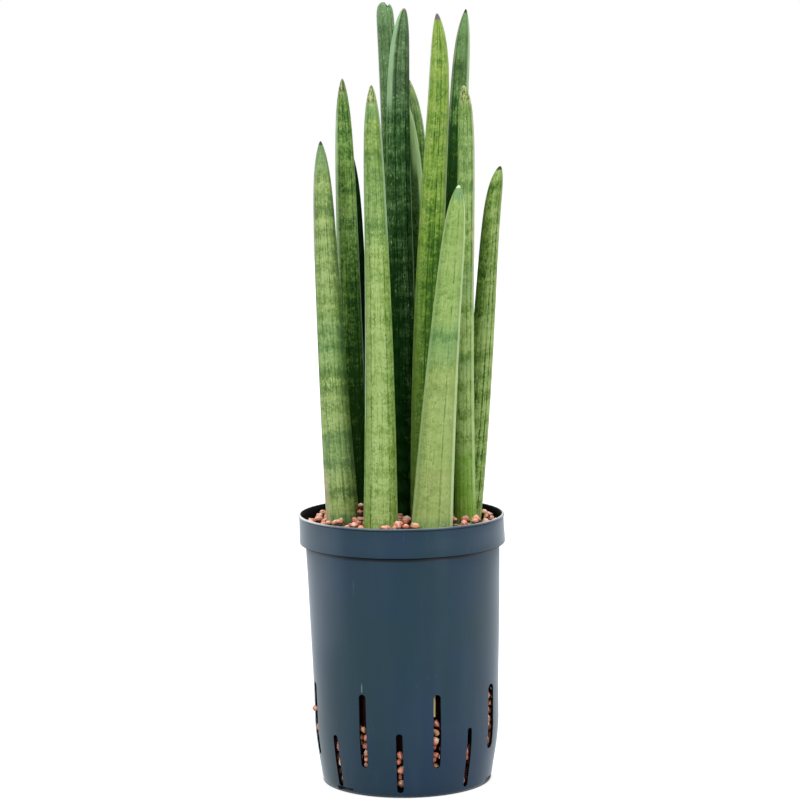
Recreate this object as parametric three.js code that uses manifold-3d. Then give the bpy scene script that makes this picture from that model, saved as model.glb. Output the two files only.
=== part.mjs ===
// Cylindrical snake plant rooted in clay granules, in a tall slotted culture pot. Sizes are in
// millimetres, +Z is up, the origin is the middle of the pot's base, and -Y is the front.

import * as THREE from "three";
import { mergeVertices } from "three/addons/utils/BufferGeometryUtils.js";
import Module from "manifold-3d";

const wasm = await Module();
wasm.setup();

// ---- Driving dimensions ----

const GAP = 0.3; // left between two pieces that touch
const TURN = 2 * Math.PI;

// Pot: the "15/19" culture pot, 150 mm across and 190 mm tall by name.
const POT_HEIGHT = 193.2;
const POT_SIDES = 48;
const WALL = 1.6;
const RIM_RADIUS = 74; // over the rolled lip
const LIP_RADIUS = 1.1; // of the lip's own roll
const COLLAR_NECK = 73.2; // radius just under the lip
const COLLAR_FOOT = 73.7; // the collar flares to this at its lower edge
const COLLAR_DROP = 21.2; // from the top of the pot to the collar's lower edge
const SHOULDER_RADIUS = 69.4; // wall right under the collar
const WAIST_RADIUS = 66.6; // wall where the upper and lower tapers meet
const WAIST_HEIGHT = 50;
const HEEL_RADIUS = 60.3; // wall where it turns into the base
const HEEL_ROUND = 3;
const FOOT_RING_INNER = 51; // the pot stands on the ring outside this radius
const FLOOR_LIFT = 2.4; // of the middle of the floor above that ring

// Slots in the pot's wall: two rows, staggered by half a step.
const SLOTS_PER_ROW = 8;
const UPPER_SLOTS = { bottom: 21, top: 74, width: 5.5, first: 18.75 };
const LOWER_SLOTS = { bottom: 3.5, top: 47, width: 4.8, first: -3.75 };
const SLOT_END_STEPS = 2; // straight pieces in a quarter of a slot's round end
const CUT_FROM = 54; // the slots' cutters reach from this radius
const CUT_TO = 80; // out to this one
const NOTCHES = { count: 3, first: -48.75, width: 11, height: 3 };

// Clay granules
const FILL_TOP = 184; // top of the packed granules, under the loose top layer
const FILL_TOP_RISE = 4; // how much higher they are heaped at the back
const FILL_CORE_SETBACK = 5; // of the packed core from the pot's wall
const FILL_SIDES = 28;
const GRANULE = 12; // across, larger than life
const GRANULE_STEP = 12; // between the middles of neighbours
const GRANULE_JITTER = 2; // how far a loose granule may lie off its place in the pattern
const GRANULE_LIFT = 2.5; // how far its middle may stand above the packed granules
const SLOT_GRANULE_STEP = 15; // between those behind a slot, one above the other
const SLOT_GRANULE_SETBACK = 7.2; // of their middles from the wall
const HOLE_SIDES = 10; // of the hole that a leaf stands in
const SEED = 7;

// Leaves, numbered from 1. At the surface of the granules a leaf stands at `foot`, `girth` across. It
// ends at `tip`, bends aside by `sway` halfway up and by `hook` near its top. `lean` is how much of its
// girth it would keep at the very top if it had no point, and `point` is how long the point is.
const SURFACE = 188;
const LEAF_BOTTOM = 139; // where the leaves sit on their rhizomes
const LEAF_SIDES = 16; // every other one is a furrow
const LEAF_RINGS = 10; // above the surface
const FURROW = 0.07; // depth, as a share of the leaf's radius
const CHANNEL = 0.16; // depth of the one broad groove down a leaf's inner face
const ROOT_END = 0.74; // a leaf narrows to this share of its girth at its bottom
const HOOK_POWER = 10; // the higher, the closer to the tip the hook starts
const BLUNT = 2.8; // radius of the roundness at the very point of a leaf
const RING_CROWDING = 2.2; // the higher, the closer together the rings are near the tip
const FAN_MIDDLE = 15; // leaves in front of this Y turn their channels back, the others forward
const LEAVES = [
  { foot: [-41.5, -6], tip: [-53, -9, 459.5], sway: [-1, -2], hook: 0, girth: 24.4, lean: 0.56, point: 16 },
  { foot: [-33, 19.5], tip: [-37.5, 17, 503], sway: [0.5, 0], hook: 0.5, girth: 22, lean: 0.57, point: 18 },
  { foot: [-29, 42], tip: [-34, 42, 455], sway: [1, 0], hook: -2, girth: 19, lean: 0.57, point: 15 },
  { foot: [-14.5, -33], tip: [-16.5, -29, 498], sway: [2, -3], hook: 1, girth: 25, lean: 0.51, point: 16 },
  { foot: [3.5, 21], tip: [7, 19, 552], sway: [0, 0], hook: 6.5, girth: 23, lean: 0.68, point: 17 },
  { foot: [-4, 50], tip: [-7, 47, 557.5], sway: [4, 0], hook: 0, girth: 21, lean: 0.61, point: 3 },
  { foot: [21.5, -38], tip: [43, -44, 428.5], sway: [-1.5, 0], hook: 0, girth: 30, lean: 0.48, point: 11.5 },
  { foot: [19.5, 2], tip: [30, -2, 547.5], sway: [-6, 0], hook: -8, girth: 25.2, lean: 0.54, point: 16.5 },
  { foot: [23.5, 28], tip: [8.5, 36, 485], sway: [1, 2], hook: -2.5, girth: 18, lean: 0.57, point: 15 },
  { foot: [17, 53], tip: [10, 54, 502], sway: [1, 0], hook: -8, girth: 17, lean: 0.57, point: 15 },
  { foot: [46, -5], tip: [48, -10, 497], sway: [-2, -1], hook: -4, girth: 15.4, lean: 0.75, point: 10.5 },
  { foot: [48, 21], tip: [73.5, 2, 440], sway: [2.5, 4], hook: 6, girth: 21.2, lean: 0.54, point: 8.7 },
  { foot: [36, 44], tip: [51.5, 40, 551.5], sway: [0, 0], hook: 3, girth: 21, lean: 0.56, point: 14 },
];
const NICK = { leaf: 6, depth: 3.5, aside: 1.8 }; // splits this leaf's dried tip in two

// Rhizomes: each young plant is a fan of leaves on one creeping stem, given by their numbers from the
// front. A root hangs from the rhizome at `from` (0 front, 1 back) and ends at `to`.
const RHIZOME_HEIGHT = 127;
const RHIZOME_RADIUS = 7.5;
const RHIZOME_END = 7; // it goes on this far past its outer leaves
const RHIZOME_SIDES = 6;
const RHIZOME_STEPS = 6;
const STUB_SHARE = 0.66; // radius of a stub under a leaf, as a share of the leaf's
const STUB_FLARE = 1; // how much wider it is at its foot
const STUB_SIDES = 8;
const ROOT_RADIUS = 2;
const ROOT_TAPER = 0.2; // share of its radius that a root loses
const ROOT_SIDES = 5;
const ROOT_STEPS = 3;
const RHIZOMES = [
  {
    name: "rhizome_1",
    leaves: [1, 2, 3],
    roots: [
      { from: 0.1, to: [-50, -14, 42] },
      { from: 0.5, to: [-30, 22, 18] },
      { from: 0.9, to: [-34, 44, 60] },
    ],
  },
  {
    name: "rhizome_2",
    leaves: [4, 5, 6],
    roots: [
      { from: 0.1, to: [-17, -46, 24] },
      { from: 0.45, to: [-12, 2, 12] },
      { from: 0.85, to: [-8, 50, 34] },
    ],
  },
  {
    name: "rhizome_3",
    leaves: [7, 8, 9, 10],
    roots: [
      { from: 0.06, to: [20.8, -61.2, 58] }, // shows in a slot
      { from: 0.4, to: [12, -10, 26] },
      { from: 0.9, to: [16, 48, 22] },
    ],
  },
  {
    name: "rhizome_4",
    leaves: [11, 12, 13],
    roots: [
      { from: 0.1, to: [46, -26, 30] },
      { from: 0.5, to: [46, 14, 16] },
      { from: 0.9, to: [36, 38, 46] },
    ],
  },
];

// ---- Solids ----

function solidOf(geometry) {
  const bare = geometry.clone();
  bare.deleteAttribute("normal");
  bare.deleteAttribute("uv");
  const merged = mergeVertices(bare, 1e-4);
  return new wasm.Manifold(
    new wasm.Mesh({
      numProp: 3,
      vertProperties: new Float32Array(merged.attributes.position.array),
      triVerts: new Uint32Array(merged.index.array),
    }),
  );
}

function meshOf(name, solid, material) {
  const { vertProperties, triVerts } = solid.getMesh();
  const geometry = new THREE.BufferGeometry();
  geometry.setAttribute("position", new THREE.BufferAttribute(vertProperties, 3));
  geometry.setIndex(new THREE.BufferAttribute(triVerts, 1));
  geometry.computeVertexNormals();
  const mesh = new THREE.Mesh(geometry, material);
  mesh.name = name;
  return mesh;
}

// The largest body of a solid, without the scraps that a cut may leave beside it.
function largestBody(solid) {
  const bodies = solid.decompose();
  return bodies.reduce((best, body) => (body.volume() > best.volume() ? body : best));
}

// Closed skin over a row of rings that run counter-clockwise seen from `end`, with a fan at both ends.
function skin(start, rings, end) {
  const sides = rings[0].length;
  const last = rings.length * sides + 1;
  const at = (ring, side) => 1 + ring * sides + (side % sides);
  const faces = [];
  for (let side = 0; side < sides; side++) {
    faces.push(0, at(0, side + 1), at(0, side));
    for (let ring = 0; ring + 1 < rings.length; ring++) {
      const [a, b] = [at(ring, side), at(ring, side + 1)];
      const [c, d] = [at(ring + 1, side + 1), at(ring + 1, side)];
      faces.push(a, b, c, a, c, d);
    }
    faces.push(last, at(rings.length - 1, side), at(rings.length - 1, side + 1));
  }
  const geometry = new THREE.BufferGeometry();
  geometry.setFromPoints([start, ...rings.flat(), end]);
  geometry.setIndex(faces);
  return geometry;
}

// Tube along a curve, whose radius at `t` from 0 to 1 is radiusAt(t).
function taperedTube(curve, radiusAt, sides, steps) {
  const { normals, binormals } = curve.computeFrenetFrames(steps, false);
  const rings = normals.map((normal, i) => {
    const middle = curve.getPointAt(i / steps);
    const radius = radiusAt(i / steps);
    return Array.from({ length: sides }, (_, side) => {
      const angle = (TURN * side) / sides;
      return middle
        .clone()
        .addScaledVector(normal, radius * Math.cos(angle))
        .addScaledVector(binormals[i], radius * Math.sin(angle));
    });
  });
  return skin(curve.getPointAt(0), rings, curve.getPointAt(1));
}

// Repeatable random numbers from 0 to 1 (mulberry32).
function randomFrom(seed) {
  let state = seed;
  return () => {
    state = (state + 0x6d2b79f5) | 0;
    let mixed = Math.imul(state ^ (state >>> 15), 1 | state);
    mixed = (mixed + Math.imul(mixed ^ (mixed >>> 7), 61 | mixed)) ^ mixed;
    return ((mixed ^ (mixed >>> 14)) >>> 0) / 4294967296;
  };
}

// ---- Pot ----

// Radius of the wall's outer face below the collar.
function wallRadius(z) {
  if (z < WAIST_HEIGHT) {
    const rise = z / WAIST_HEIGHT;
    return HEEL_RADIUS + (WAIST_RADIUS - HEEL_RADIUS) * Math.sin((rise * Math.PI) / 2);
  }
  const rise = (z - WAIST_HEIGHT) / (POT_HEIGHT - COLLAR_DROP - WAIST_HEIGHT);
  return WAIST_RADIUS + (SHOULDER_RADIUS - WAIST_RADIUS) * rise;
}

const WALL_HEIGHTS = [20, WAIST_HEIGHT, POT_HEIGHT - COLLAR_DROP - WALL];

function potProfile() {
  const collar = POT_HEIGHT - COLLAR_DROP;
  const outline = new THREE.Path();
  outline.moveTo(0, FLOOR_LIFT);
  outline.lineTo(FOOT_RING_INNER - FLOOR_LIFT / 2, FLOOR_LIFT);
  outline.lineTo(FOOT_RING_INNER, 0);
  outline.lineTo(HEEL_RADIUS - HEEL_ROUND, 0);
  outline.lineTo(HEEL_RADIUS - 1, 1);
  outline.lineTo(wallRadius(HEEL_ROUND), HEEL_ROUND);
  WALL_HEIGHTS.forEach((z) => outline.lineTo(wallRadius(z), z));
  outline.lineTo(COLLAR_FOOT - 1.5, collar);
  outline.lineTo(COLLAR_FOOT, collar + 2.5);
  outline.lineTo(COLLAR_NECK, POT_HEIGHT - 2 * LIP_RADIUS);
  outline.lineTo(RIM_RADIUS, POT_HEIGHT - LIP_RADIUS);
  outline.lineTo(RIM_RADIUS - LIP_RADIUS / 3, POT_HEIGHT - LIP_RADIUS / 3);
  outline.lineTo(RIM_RADIUS - LIP_RADIUS, POT_HEIGHT);
  outline.lineTo(COLLAR_NECK - WALL, POT_HEIGHT - LIP_RADIUS);
  outline.lineTo(COLLAR_FOOT - WALL, collar + 3);
  outline.lineTo(SHOULDER_RADIUS - WALL, collar);
  [...WALL_HEIGHTS].reverse().forEach((z) => outline.lineTo(wallRadius(z) - WALL, z));
  outline.lineTo(wallRadius(WALL) - 2 * WALL, WALL);
  outline.lineTo(FOOT_RING_INNER + WALL / 2, WALL);
  outline.lineTo(FOOT_RING_INNER - WALL / 2, FLOOR_LIFT + WALL);
  outline.lineTo(0, FLOOR_LIFT + WALL);
  return outline.getPoints();
}

// Turned about +Z: LatheGeometry turns its outline about +Y, so it is stood up.
function lathe(profile, sides) {
  return new THREE.LatheGeometry(profile, sides).rotateX(Math.PI / 2);
}

// A block with the outline's shape, which runs out through the wall at an angle from the front.
function radialCutter(outline, inner, degrees) {
  const block = new THREE.ExtrudeGeometry(outline, { depth: CUT_TO - inner, bevelEnabled: false });
  block.translate(0, 0, inner);
  block.rotateX(Math.PI / 2);
  block.rotateZ(THREE.MathUtils.degToRad(degrees));
  return solidOf(block);
}

function slotOutline({ bottom, top, width }) {
  const half = width / 2;
  const outline = new THREE.Shape();
  outline.absarc(0, top - half, half, 0, Math.PI, false);
  outline.absarc(0, bottom + half, half, Math.PI, TURN, false);
  return new THREE.Shape(outline.extractPoints(SLOT_END_STEPS).shape);
}

function notchOutline({ width, height }) {
  const half = width / 2;
  return new THREE.Shape([
    new THREE.Vector2(-half, -height),
    new THREE.Vector2(half, -height),
    new THREE.Vector2(half - height / 2, height),
    new THREE.Vector2(-half + height / 2, height),
  ]);
}

function slotAngles(row) {
  return Array.from({ length: SLOTS_PER_ROW }, (_, i) => row.first + (360 * i) / SLOTS_PER_ROW);
}

function makePot() {
  const cutters = [];
  for (const row of [UPPER_SLOTS, LOWER_SLOTS]) {
    const outline = slotOutline(row);
    slotAngles(row).forEach((angle) => cutters.push(radialCutter(outline, CUT_FROM, angle)));
  }
  for (let i = 0; i < NOTCHES.count; i++) {
    const angle = NOTCHES.first + (360 * i) / NOTCHES.count;
    cutters.push(radialCutter(notchOutline(NOTCHES), FOOT_RING_INNER + 2, angle));
  }
  return solidOf(lathe(potProfile(), POT_SIDES)).subtract(wasm.Manifold.union(cutters));
}

// ---- Leaves ----

// Middle of a leaf at a height: straight down into the granules below its foot.
function leafMiddle({ foot, tip, sway, hook }, z) {
  const rise = THREE.MathUtils.clamp((z - SURFACE) / (tip[2] - SURFACE), 0, 1);
  const bow = 4 * rise * (1 - rise);
  const x = foot[0] + (tip[0] - hook - foot[0]) * rise + sway[0] * bow + hook * rise ** HOOK_POWER;
  const y = foot[1] + (tip[1] - foot[1]) * rise + sway[1] * bow;
  return new THREE.Vector3(x, y, z);
}

function leafRadius({ tip, girth, lean, point }, z) {
  const below = tip[2] - z;
  const share = Math.min(below / (tip[2] - SURFACE), 1);
  const body = (girth / 2) * (lean + (1 - lean) * share);
  const sunk = THREE.MathUtils.clamp((SURFACE - z) / (SURFACE - LEAF_BOTTOM), 0, 1);
  const rounded = Math.sqrt(below * below + 2 * below * BLUNT);
  return body * (1 - Math.exp(-rounded / point)) * (1 - (1 - ROOT_END) * sunk);
}

// One level ring of a leaf: ridges and furrows by turns, and the channel on its inner side.
function leafRing(leaf, z) {
  const middle = leafMiddle(leaf, z);
  const radius = leafRadius(leaf, z);
  const inward = leaf.foot[1] < FAN_MIDDLE ? Math.PI / 2 : -Math.PI / 2;
  const fade = 1 - THREE.MathUtils.clamp((z - SURFACE) / (leaf.tip[2] - SURFACE), 0, 1);
  return Array.from({ length: LEAF_SIDES }, (_, side) => {
    const angle = (TURN * side) / LEAF_SIDES;
    const furrow = side % 2 ? FURROW : 0;
    const channel = CHANNEL * fade * Math.max(0, Math.cos(angle - inward)) ** 6;
    const reach = radius * (1 - furrow - channel);
    return new THREE.Vector3(reach * Math.cos(angle), reach * Math.sin(angle), 0).add(middle);
  });
}

// Wedge with its edge down, across a leaf's tip from front to back.
function nickCutter({ tip: [x, y, z], girth }) {
  const { depth, aside } = NICK;
  const wedge = new THREE.Shape([
    new THREE.Vector2(-depth, depth),
    new THREE.Vector2(0, -depth),
    new THREE.Vector2(depth, depth),
  ]);
  const block = new THREE.ExtrudeGeometry(wedge, { depth: girth, bevelEnabled: false });
  block.translate(0, 0, -girth / 2);
  block.rotateX(Math.PI / 2);
  block.translate(x + aside, y, z);
  return solidOf(block);
}

function makeLeaf(leaf, number) {
  const length = leaf.tip[2] - SURFACE;
  const heights = [LEAF_BOTTOM, (LEAF_BOTTOM + SURFACE) / 2];
  for (let i = LEAF_RINGS; i > 0; i--) {
    heights.push(leaf.tip[2] - length * (i / LEAF_RINGS) ** RING_CROWDING);
  }
  const rings = heights.map((z) => leafRing(leaf, z));
  const solid = solidOf(skin(leafMiddle(leaf, LEAF_BOTTOM), rings, new THREE.Vector3(...leaf.tip)));
  return number === NICK.leaf ? solid.subtract(nickCutter(leaf)) : solid;
}

// ---- Rhizomes and roots ----

function rhizomeCurve(feet) {
  const first = feet[0];
  const last = feet[feet.length - 1];
  const ahead = first.clone().sub(feet[1]).setLength(RHIZOME_END).add(first);
  const behind = last.clone().sub(feet[feet.length - 2]).setLength(RHIZOME_END).add(last);
  return new THREE.CatmullRomCurve3([ahead, ...feet, behind]);
}

function rootCurve(start, end) {
  const knee = new THREE.Vector3(
    start.x + (end.x - start.x) * 0.7,
    start.y + (end.y - start.y) * 0.7,
    (start.z + end.z) / 2,
  );
  return new THREE.QuadraticBezierCurve3(start, knee, end);
}

// A rhizome with its stubs and roots, grown on every side by `allowance` for the hollow round it.
function makeRhizome({ leaves, roots }, allowance = 0) {
  const grown = leaves.map((number) => LEAVES[number - 1]);
  const feet = grown.map(({ foot }) => new THREE.Vector3(...foot, RHIZOME_HEIGHT));
  const curve = rhizomeCurve(feet);
  const swell = (t) => (RHIZOME_RADIUS + allowance) * (0.86 + 0.14 * Math.sin(Math.PI * t));
  const solids = [solidOf(taperedTube(curve, swell, RHIZOME_SIDES, RHIZOME_STEPS))];
  grown.forEach(({ foot, girth }) => {
    const radius = (girth / 2) * STUB_SHARE + allowance;
    const height = LEAF_BOTTOM - GAP - RHIZOME_HEIGHT + allowance;
    const stub = new THREE.CylinderGeometry(radius, radius + STUB_FLARE, height, STUB_SIDES);
    stub.rotateX(Math.PI / 2);
    stub.translate(...foot, RHIZOME_HEIGHT + height / 2);
    solids.push(solidOf(stub));
  });
  roots.forEach(({ from, to }) => {
    const line = rootCurve(curve.getPointAt(from), new THREE.Vector3(...to));
    const taper = (t) => ROOT_RADIUS * (1 - ROOT_TAPER * t) + allowance;
    solids.push(solidOf(taperedTube(line, taper, ROOT_SIDES, ROOT_STEPS)));
  });
  return wasm.Manifold.union(solids);
}

// ---- Clay granules ----

// The packed core, a little inside the pot's wall.
function fillCore() {
  const inset = WALL + GAP + FILL_CORE_SETBACK;
  const collar = POT_HEIGHT - COLLAR_DROP;
  const floor = FLOOR_LIFT + WALL + GAP;
  const profile = [new THREE.Vector2(0, floor), new THREE.Vector2(FOOT_RING_INNER - 1, floor)];
  WALL_HEIGHTS.forEach((z) => profile.push(new THREE.Vector2(wallRadius(z) - inset, z)));
  profile.push(new THREE.Vector2(SHOULDER_RADIUS - inset, collar + WALL));
  profile.push(new THREE.Vector2(COLLAR_NECK - inset, collar + 6));
  profile.push(new THREE.Vector2(COLLAR_NECK - inset, FILL_TOP), new THREE.Vector2(0, FILL_TOP));
  return solidOf(lathe(profile, FILL_SIDES));
}

function granule(random, middle, size, Shape = THREE.IcosahedronGeometry) {
  const stone = new Shape(size / 2, 0);
  stone.scale(0.85 + 0.3 * random(), 0.85 + 0.3 * random(), 0.75 + 0.25 * random());
  stone.rotateX(TURN * random());
  stone.rotateZ(TURN * random());
  stone.translate(middle.x, middle.y, middle.z);
  return solidOf(stone);
}

// How high the packed granules lie at a place: heaped a little towards the back.
function fillHeight(y) {
  return FILL_TOP + FILL_TOP_RISE * THREE.MathUtils.smoothstep(y, -20, 60);
}

// Loose granules over the top, in staggered rows, left out where a leaf stands.
function topGranules(random) {
  const stones = [];
  const reach = COLLAR_NECK - WALL - GAP - GRANULE / 2;
  const rowStep = GRANULE_STEP * Math.sin(Math.PI / 3);
  const span = Math.ceil(RIM_RADIUS / GRANULE_STEP) + 1;
  for (let row = -span; row <= span; row++) {
    for (let column = -span; column <= span; column++) {
      const x = (column + (row % 2 ? 0.5 : 0)) * GRANULE_STEP + (random() - 0.5) * GRANULE_JITTER;
      const y = row * rowStep + (random() - 0.5) * GRANULE_JITTER;
      const size = GRANULE * (0.9 + 0.25 * random());
      const taken = LEAVES.some(({ foot: [u, v], girth }) => Math.hypot(x - u, y - v) <= girth / 2 + 1);
      if (Math.hypot(x, y) > reach || taken) continue;
      const z = fillHeight(y) + GRANULE_LIFT * random();
      stones.push(granule(random, new THREE.Vector3(x, y, z), size));
    }
  }
  return stones;
}

// Granules that lie against the wall behind each slot.
function slotGranules(random) {
  const stones = [];
  for (const row of [UPPER_SLOTS, LOWER_SLOTS]) {
    for (const degrees of slotAngles(row)) {
      const angle = THREE.MathUtils.degToRad(degrees - 90);
      for (let z = row.bottom + GRANULE / 2; z < row.top; z += SLOT_GRANULE_STEP) {
        const radius = wallRadius(z) - WALL - GAP - SLOT_GRANULE_SETBACK;
        const middle = new THREE.Vector3(radius * Math.cos(angle), radius * Math.sin(angle), z);
        stones.push(granule(random, middle, GRANULE, THREE.OctahedronGeometry));
      }
    }
  }
  return stones;
}

// Plain round hole that a leaf stands in.
function leafHole({ foot, girth }) {
  const radius = (girth / 2 + 2 * GAP) / Math.cos(Math.PI / HOLE_SIDES);
  const bottom = RHIZOME_HEIGHT + 4;
  const top = POT_HEIGHT + 20;
  const hole = new THREE.CylinderGeometry(radius, radius, top - bottom, HOLE_SIDES);
  hole.rotateX(Math.PI / 2);
  hole.translate(...foot, (top + bottom) / 2);
  return solidOf(hole);
}

function makeGranules() {
  const random = randomFrom(SEED);
  const stones = [...topGranules(random), ...slotGranules(random)];
  const heap = wasm.Manifold.union([fillCore(), ...stones]);
  const hollows = [...LEAVES.map(leafHole), ...RHIZOMES.map((rhizome) => makeRhizome(rhizome, GAP))];
  return largestBody(heap.subtract(wasm.Manifold.union(hollows)));
}

// ---- Materials ----

function finish(color, roughness) {
  return new THREE.MeshStandardMaterial({ color, roughness, metalness: 0 });
}

const POT_PLASTIC = finish(0x43596b, 0.55);
const CLAY = finish(0xb8755a, 0.95);
const RHIZOME_SKIN = finish(0xcf9a5b, 0.7);
const PALE_LEAF = finish(0x86a067, 0.5);
const BRIGHT_LEAF = finish(0x7fa84a, 0.5);
const DARK_LEAF = finish(0x4a6f42, 0.5);

function leafFinish(number) {
  if ([1, 7, 11].includes(number)) return PALE_LEAF;
  return [2, 4, 8, 12].includes(number) ? BRIGHT_LEAF : DARK_LEAF;
}

// ---- Plant ----

const plant = new THREE.Group();
plant.add(meshOf("pot", makePot(), POT_PLASTIC));
plant.add(meshOf("clay_granules", makeGranules(), CLAY));
RHIZOMES.forEach((rhizome) => {
  plant.add(meshOf(rhizome.name, makeRhizome(rhizome), RHIZOME_SKIN));
});
LEAVES.forEach((leaf, i) => {
  const name = `leaf_${String(i + 1).padStart(2, "0")}`;
  plant.add(meshOf(name, makeLeaf(leaf, i + 1), leafFinish(i + 1)));
});

export default plant;
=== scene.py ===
"""Cylindrical snake plant in its slotted culture pot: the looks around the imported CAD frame.

Lengths are in metres, in the CAD frame: +Z up, -Y to the front, the pot's base in the middle.
"""

import math
import random
from dataclasses import dataclass

import bmesh
import bpy
from mathutils import Matrix, Vector


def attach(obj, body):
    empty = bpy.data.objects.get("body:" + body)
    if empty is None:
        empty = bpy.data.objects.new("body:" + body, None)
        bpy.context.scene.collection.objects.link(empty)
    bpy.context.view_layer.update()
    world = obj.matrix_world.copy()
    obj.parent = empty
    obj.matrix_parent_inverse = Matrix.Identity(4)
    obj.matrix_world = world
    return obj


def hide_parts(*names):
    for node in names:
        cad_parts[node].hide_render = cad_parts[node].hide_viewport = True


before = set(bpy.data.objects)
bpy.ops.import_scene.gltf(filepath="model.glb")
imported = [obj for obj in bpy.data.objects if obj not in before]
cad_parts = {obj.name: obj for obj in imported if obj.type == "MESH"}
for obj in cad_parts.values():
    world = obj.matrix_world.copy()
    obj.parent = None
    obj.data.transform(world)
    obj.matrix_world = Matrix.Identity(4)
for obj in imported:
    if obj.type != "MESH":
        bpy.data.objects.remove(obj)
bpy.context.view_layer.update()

MM = 0.001
TURN = 2 * math.pi

REAL = "NodeSocketFloat"
VECTOR = "NodeSocketVector"
RGB = "NodeSocketColor"
GEOMETRY = "NodeSocketGeometry"
MATERIAL = "NodeSocketMaterial"


# ---- Node trees ----


class Field:
    """A value that nodes work out, so that a rule in a node tree reads like a formula."""

    def __init__(self, nodes, socket):
        self.nodes = nodes
        self.socket = socket

    def __add__(self, other):
        return self.nodes.math("ADD", self, other)

    def __sub__(self, other):
        return self.nodes.math("SUBTRACT", self, other)

    def __rsub__(self, other):
        return self.nodes.math("SUBTRACT", other, self)

    def __mul__(self, other):
        return self.nodes.math("MULTIPLY", self, other)

    def __truediv__(self, other):
        return self.nodes.math("DIVIDE", self, other)

    def __pow__(self, other):
        return self.nodes.math("POWER", self, other)

    __radd__ = __add__
    __rmul__ = __mul__


class Nodes:
    """Builds one node tree."""

    def __init__(self, tree):
        self.tree = tree

    def add(self, kind, *values, **settings):
        """Adds a node; values go to its sockets in order, and None leaves one as it is."""
        node = self.tree.nodes.new(kind)
        for name, value in settings.items():
            setattr(node, name, value)
        for socket, value in zip(node.inputs, values):
            self.plug(value, socket)
        return node

    def plug(self, value, socket):
        if isinstance(value, Field):
            value = value.socket
        if isinstance(value, bpy.types.NodeSocket):
            self.tree.links.new(value, socket)
        elif value is not None:
            socket.default_value = value

    def plug_all(self, node, values):
        """Sets or links a node's sockets by their names."""
        for name, value in values.items():
            self.plug(value, node.inputs[name])

    def field(self, socket):
        return Field(self, socket)

    def math(self, operation, *values):
        node = self.add("ShaderNodeMath", *values, operation=operation)
        return self.field(node.outputs[0])

    def clamp(self, value):
        """Keeps a value from 0 to 1."""
        return self.math("MINIMUM", self.math("MAXIMUM", value, 0.0), 1.0)

    def step(self, value, low, high):
        """0 below low and 1 above high, with a smooth rise between them."""
        node = self.add("ShaderNodeMapRange", value, low, high, 0.0, 1.0)
        node.interpolation_type = "SMOOTHSTEP"
        return self.field(node.outputs[0])

    def vector(self, x=0.0, y=0.0, z=0.0):
        return self.add("ShaderNodeCombineXYZ", x, y, z).outputs[0]

    def split(self, vector):
        return [self.field(s) for s in self.add("ShaderNodeSeparateXYZ", vector).outputs]

    def noise(self, vector, scale, detail=2.0, roughness=0.5):
        node = self.add("ShaderNodeTexNoise", noise_dimensions="3D")
        values = {"Vector": vector, "Scale": scale, "Detail": detail, "Roughness": roughness}
        self.plug_all(node, values)
        return self.field(node.outputs[0])

    def random(self, *key):
        """A random number from 0 to 1 for each key."""
        node = self.add("ShaderNodeTexWhiteNoise", self.vector(*key), noise_dimensions="3D")
        return self.field(node.outputs["Value"])

    def random_of(self, vector):
        """A random number for each value of a vector."""
        return self.random(*self.split(vector))

    def mix(self, share, a, b):
        """Mixes two colours."""
        node = self.add("ShaderNodeMix", data_type="RGBA", blend_type="MIX")
        for value, socket in zip((share, a, b), (node.inputs[0], node.inputs[6], node.inputs[7])):
            self.plug(value, socket)
        return node.outputs[2]

    def layers(self, base, *coats):
        """Lays colours over a base one after another, each by its own share."""
        for share, code in coats:
            base = self.mix(share, base, colour(code))
        return base

    def from_axis(self, x, y):
        """Distance from the Z axis."""
        return self.math("SQRT", x * x + y * y)

    def position(self):
        return self.add("GeometryNodeInputPosition").outputs[0]

    def moved(self, geometry, place):
        return self.add("GeometryNodeSetPosition", geometry, None, place).outputs[0]

    def note(self, geometry, name, value, kind="FLOAT"):
        """Writes a value on a geometry's points, where it is found again by its name."""
        node = self.add("GeometryNodeStoreNamedAttribute", geometry, data_type=kind)
        self.plug_all(node, {"Name": name, "Value": value})
        return node.outputs[0]

    def noted(self, name, kind="FLOAT"):
        return self.add("GeometryNodeInputNamedAttribute", name, data_type=kind).outputs[0]


def new_tree(name, kind, inputs, outputs):
    """A node group with named inputs (name, socket type, default) and outputs."""
    tree = bpy.data.node_groups.new(name, kind)
    for label, socket, default in inputs:
        item = tree.interface.new_socket(label, in_out="INPUT", socket_type=socket)
        if default is not None:
            item.default_value = default
    for label, socket in outputs:
        tree.interface.new_socket(label, in_out="OUTPUT", socket_type=socket)
    nodes = Nodes(tree)
    given = {s.name: nodes.field(s) for s in nodes.add("NodeGroupInput").outputs if s.name}
    return nodes, given


def close_tree(nodes, geometry, material):
    """Ends a geometry tree: no instances are left, and the result has its material."""
    real = nodes.add("GeometryNodeRealizeInstances", geometry).outputs[0]
    done = nodes.add("GeometryNodeSetMaterial", real, None, material).outputs[0]
    nodes.add("NodeGroupOutput", done)


def link(obj):
    bpy.context.scene.collection.objects.link(obj)
    return obj


def run_tree(name, tree, values, start=None):
    """Runs a geometry tree on a mesh and returns the result as a plain mesh object."""
    source = link(bpy.data.objects.new(name + "_source", start or bpy.data.meshes.new(name)))
    modifier = source.modifiers.new("rule", "NODES")
    modifier.node_group = tree
    for item in tree.interface.items_tree:
        if item.in_out == "INPUT" and item.name in values:
            modifier[item.identifier] = values[item.name]
    graph = bpy.context.evaluated_depsgraph_get()
    mesh = bpy.data.meshes.new_from_object(source.evaluated_get(graph))
    source.modifiers.remove(modifier)
    bpy.data.objects.remove(source)
    mesh.name = name
    return link(bpy.data.objects.new(name, mesh))


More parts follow.
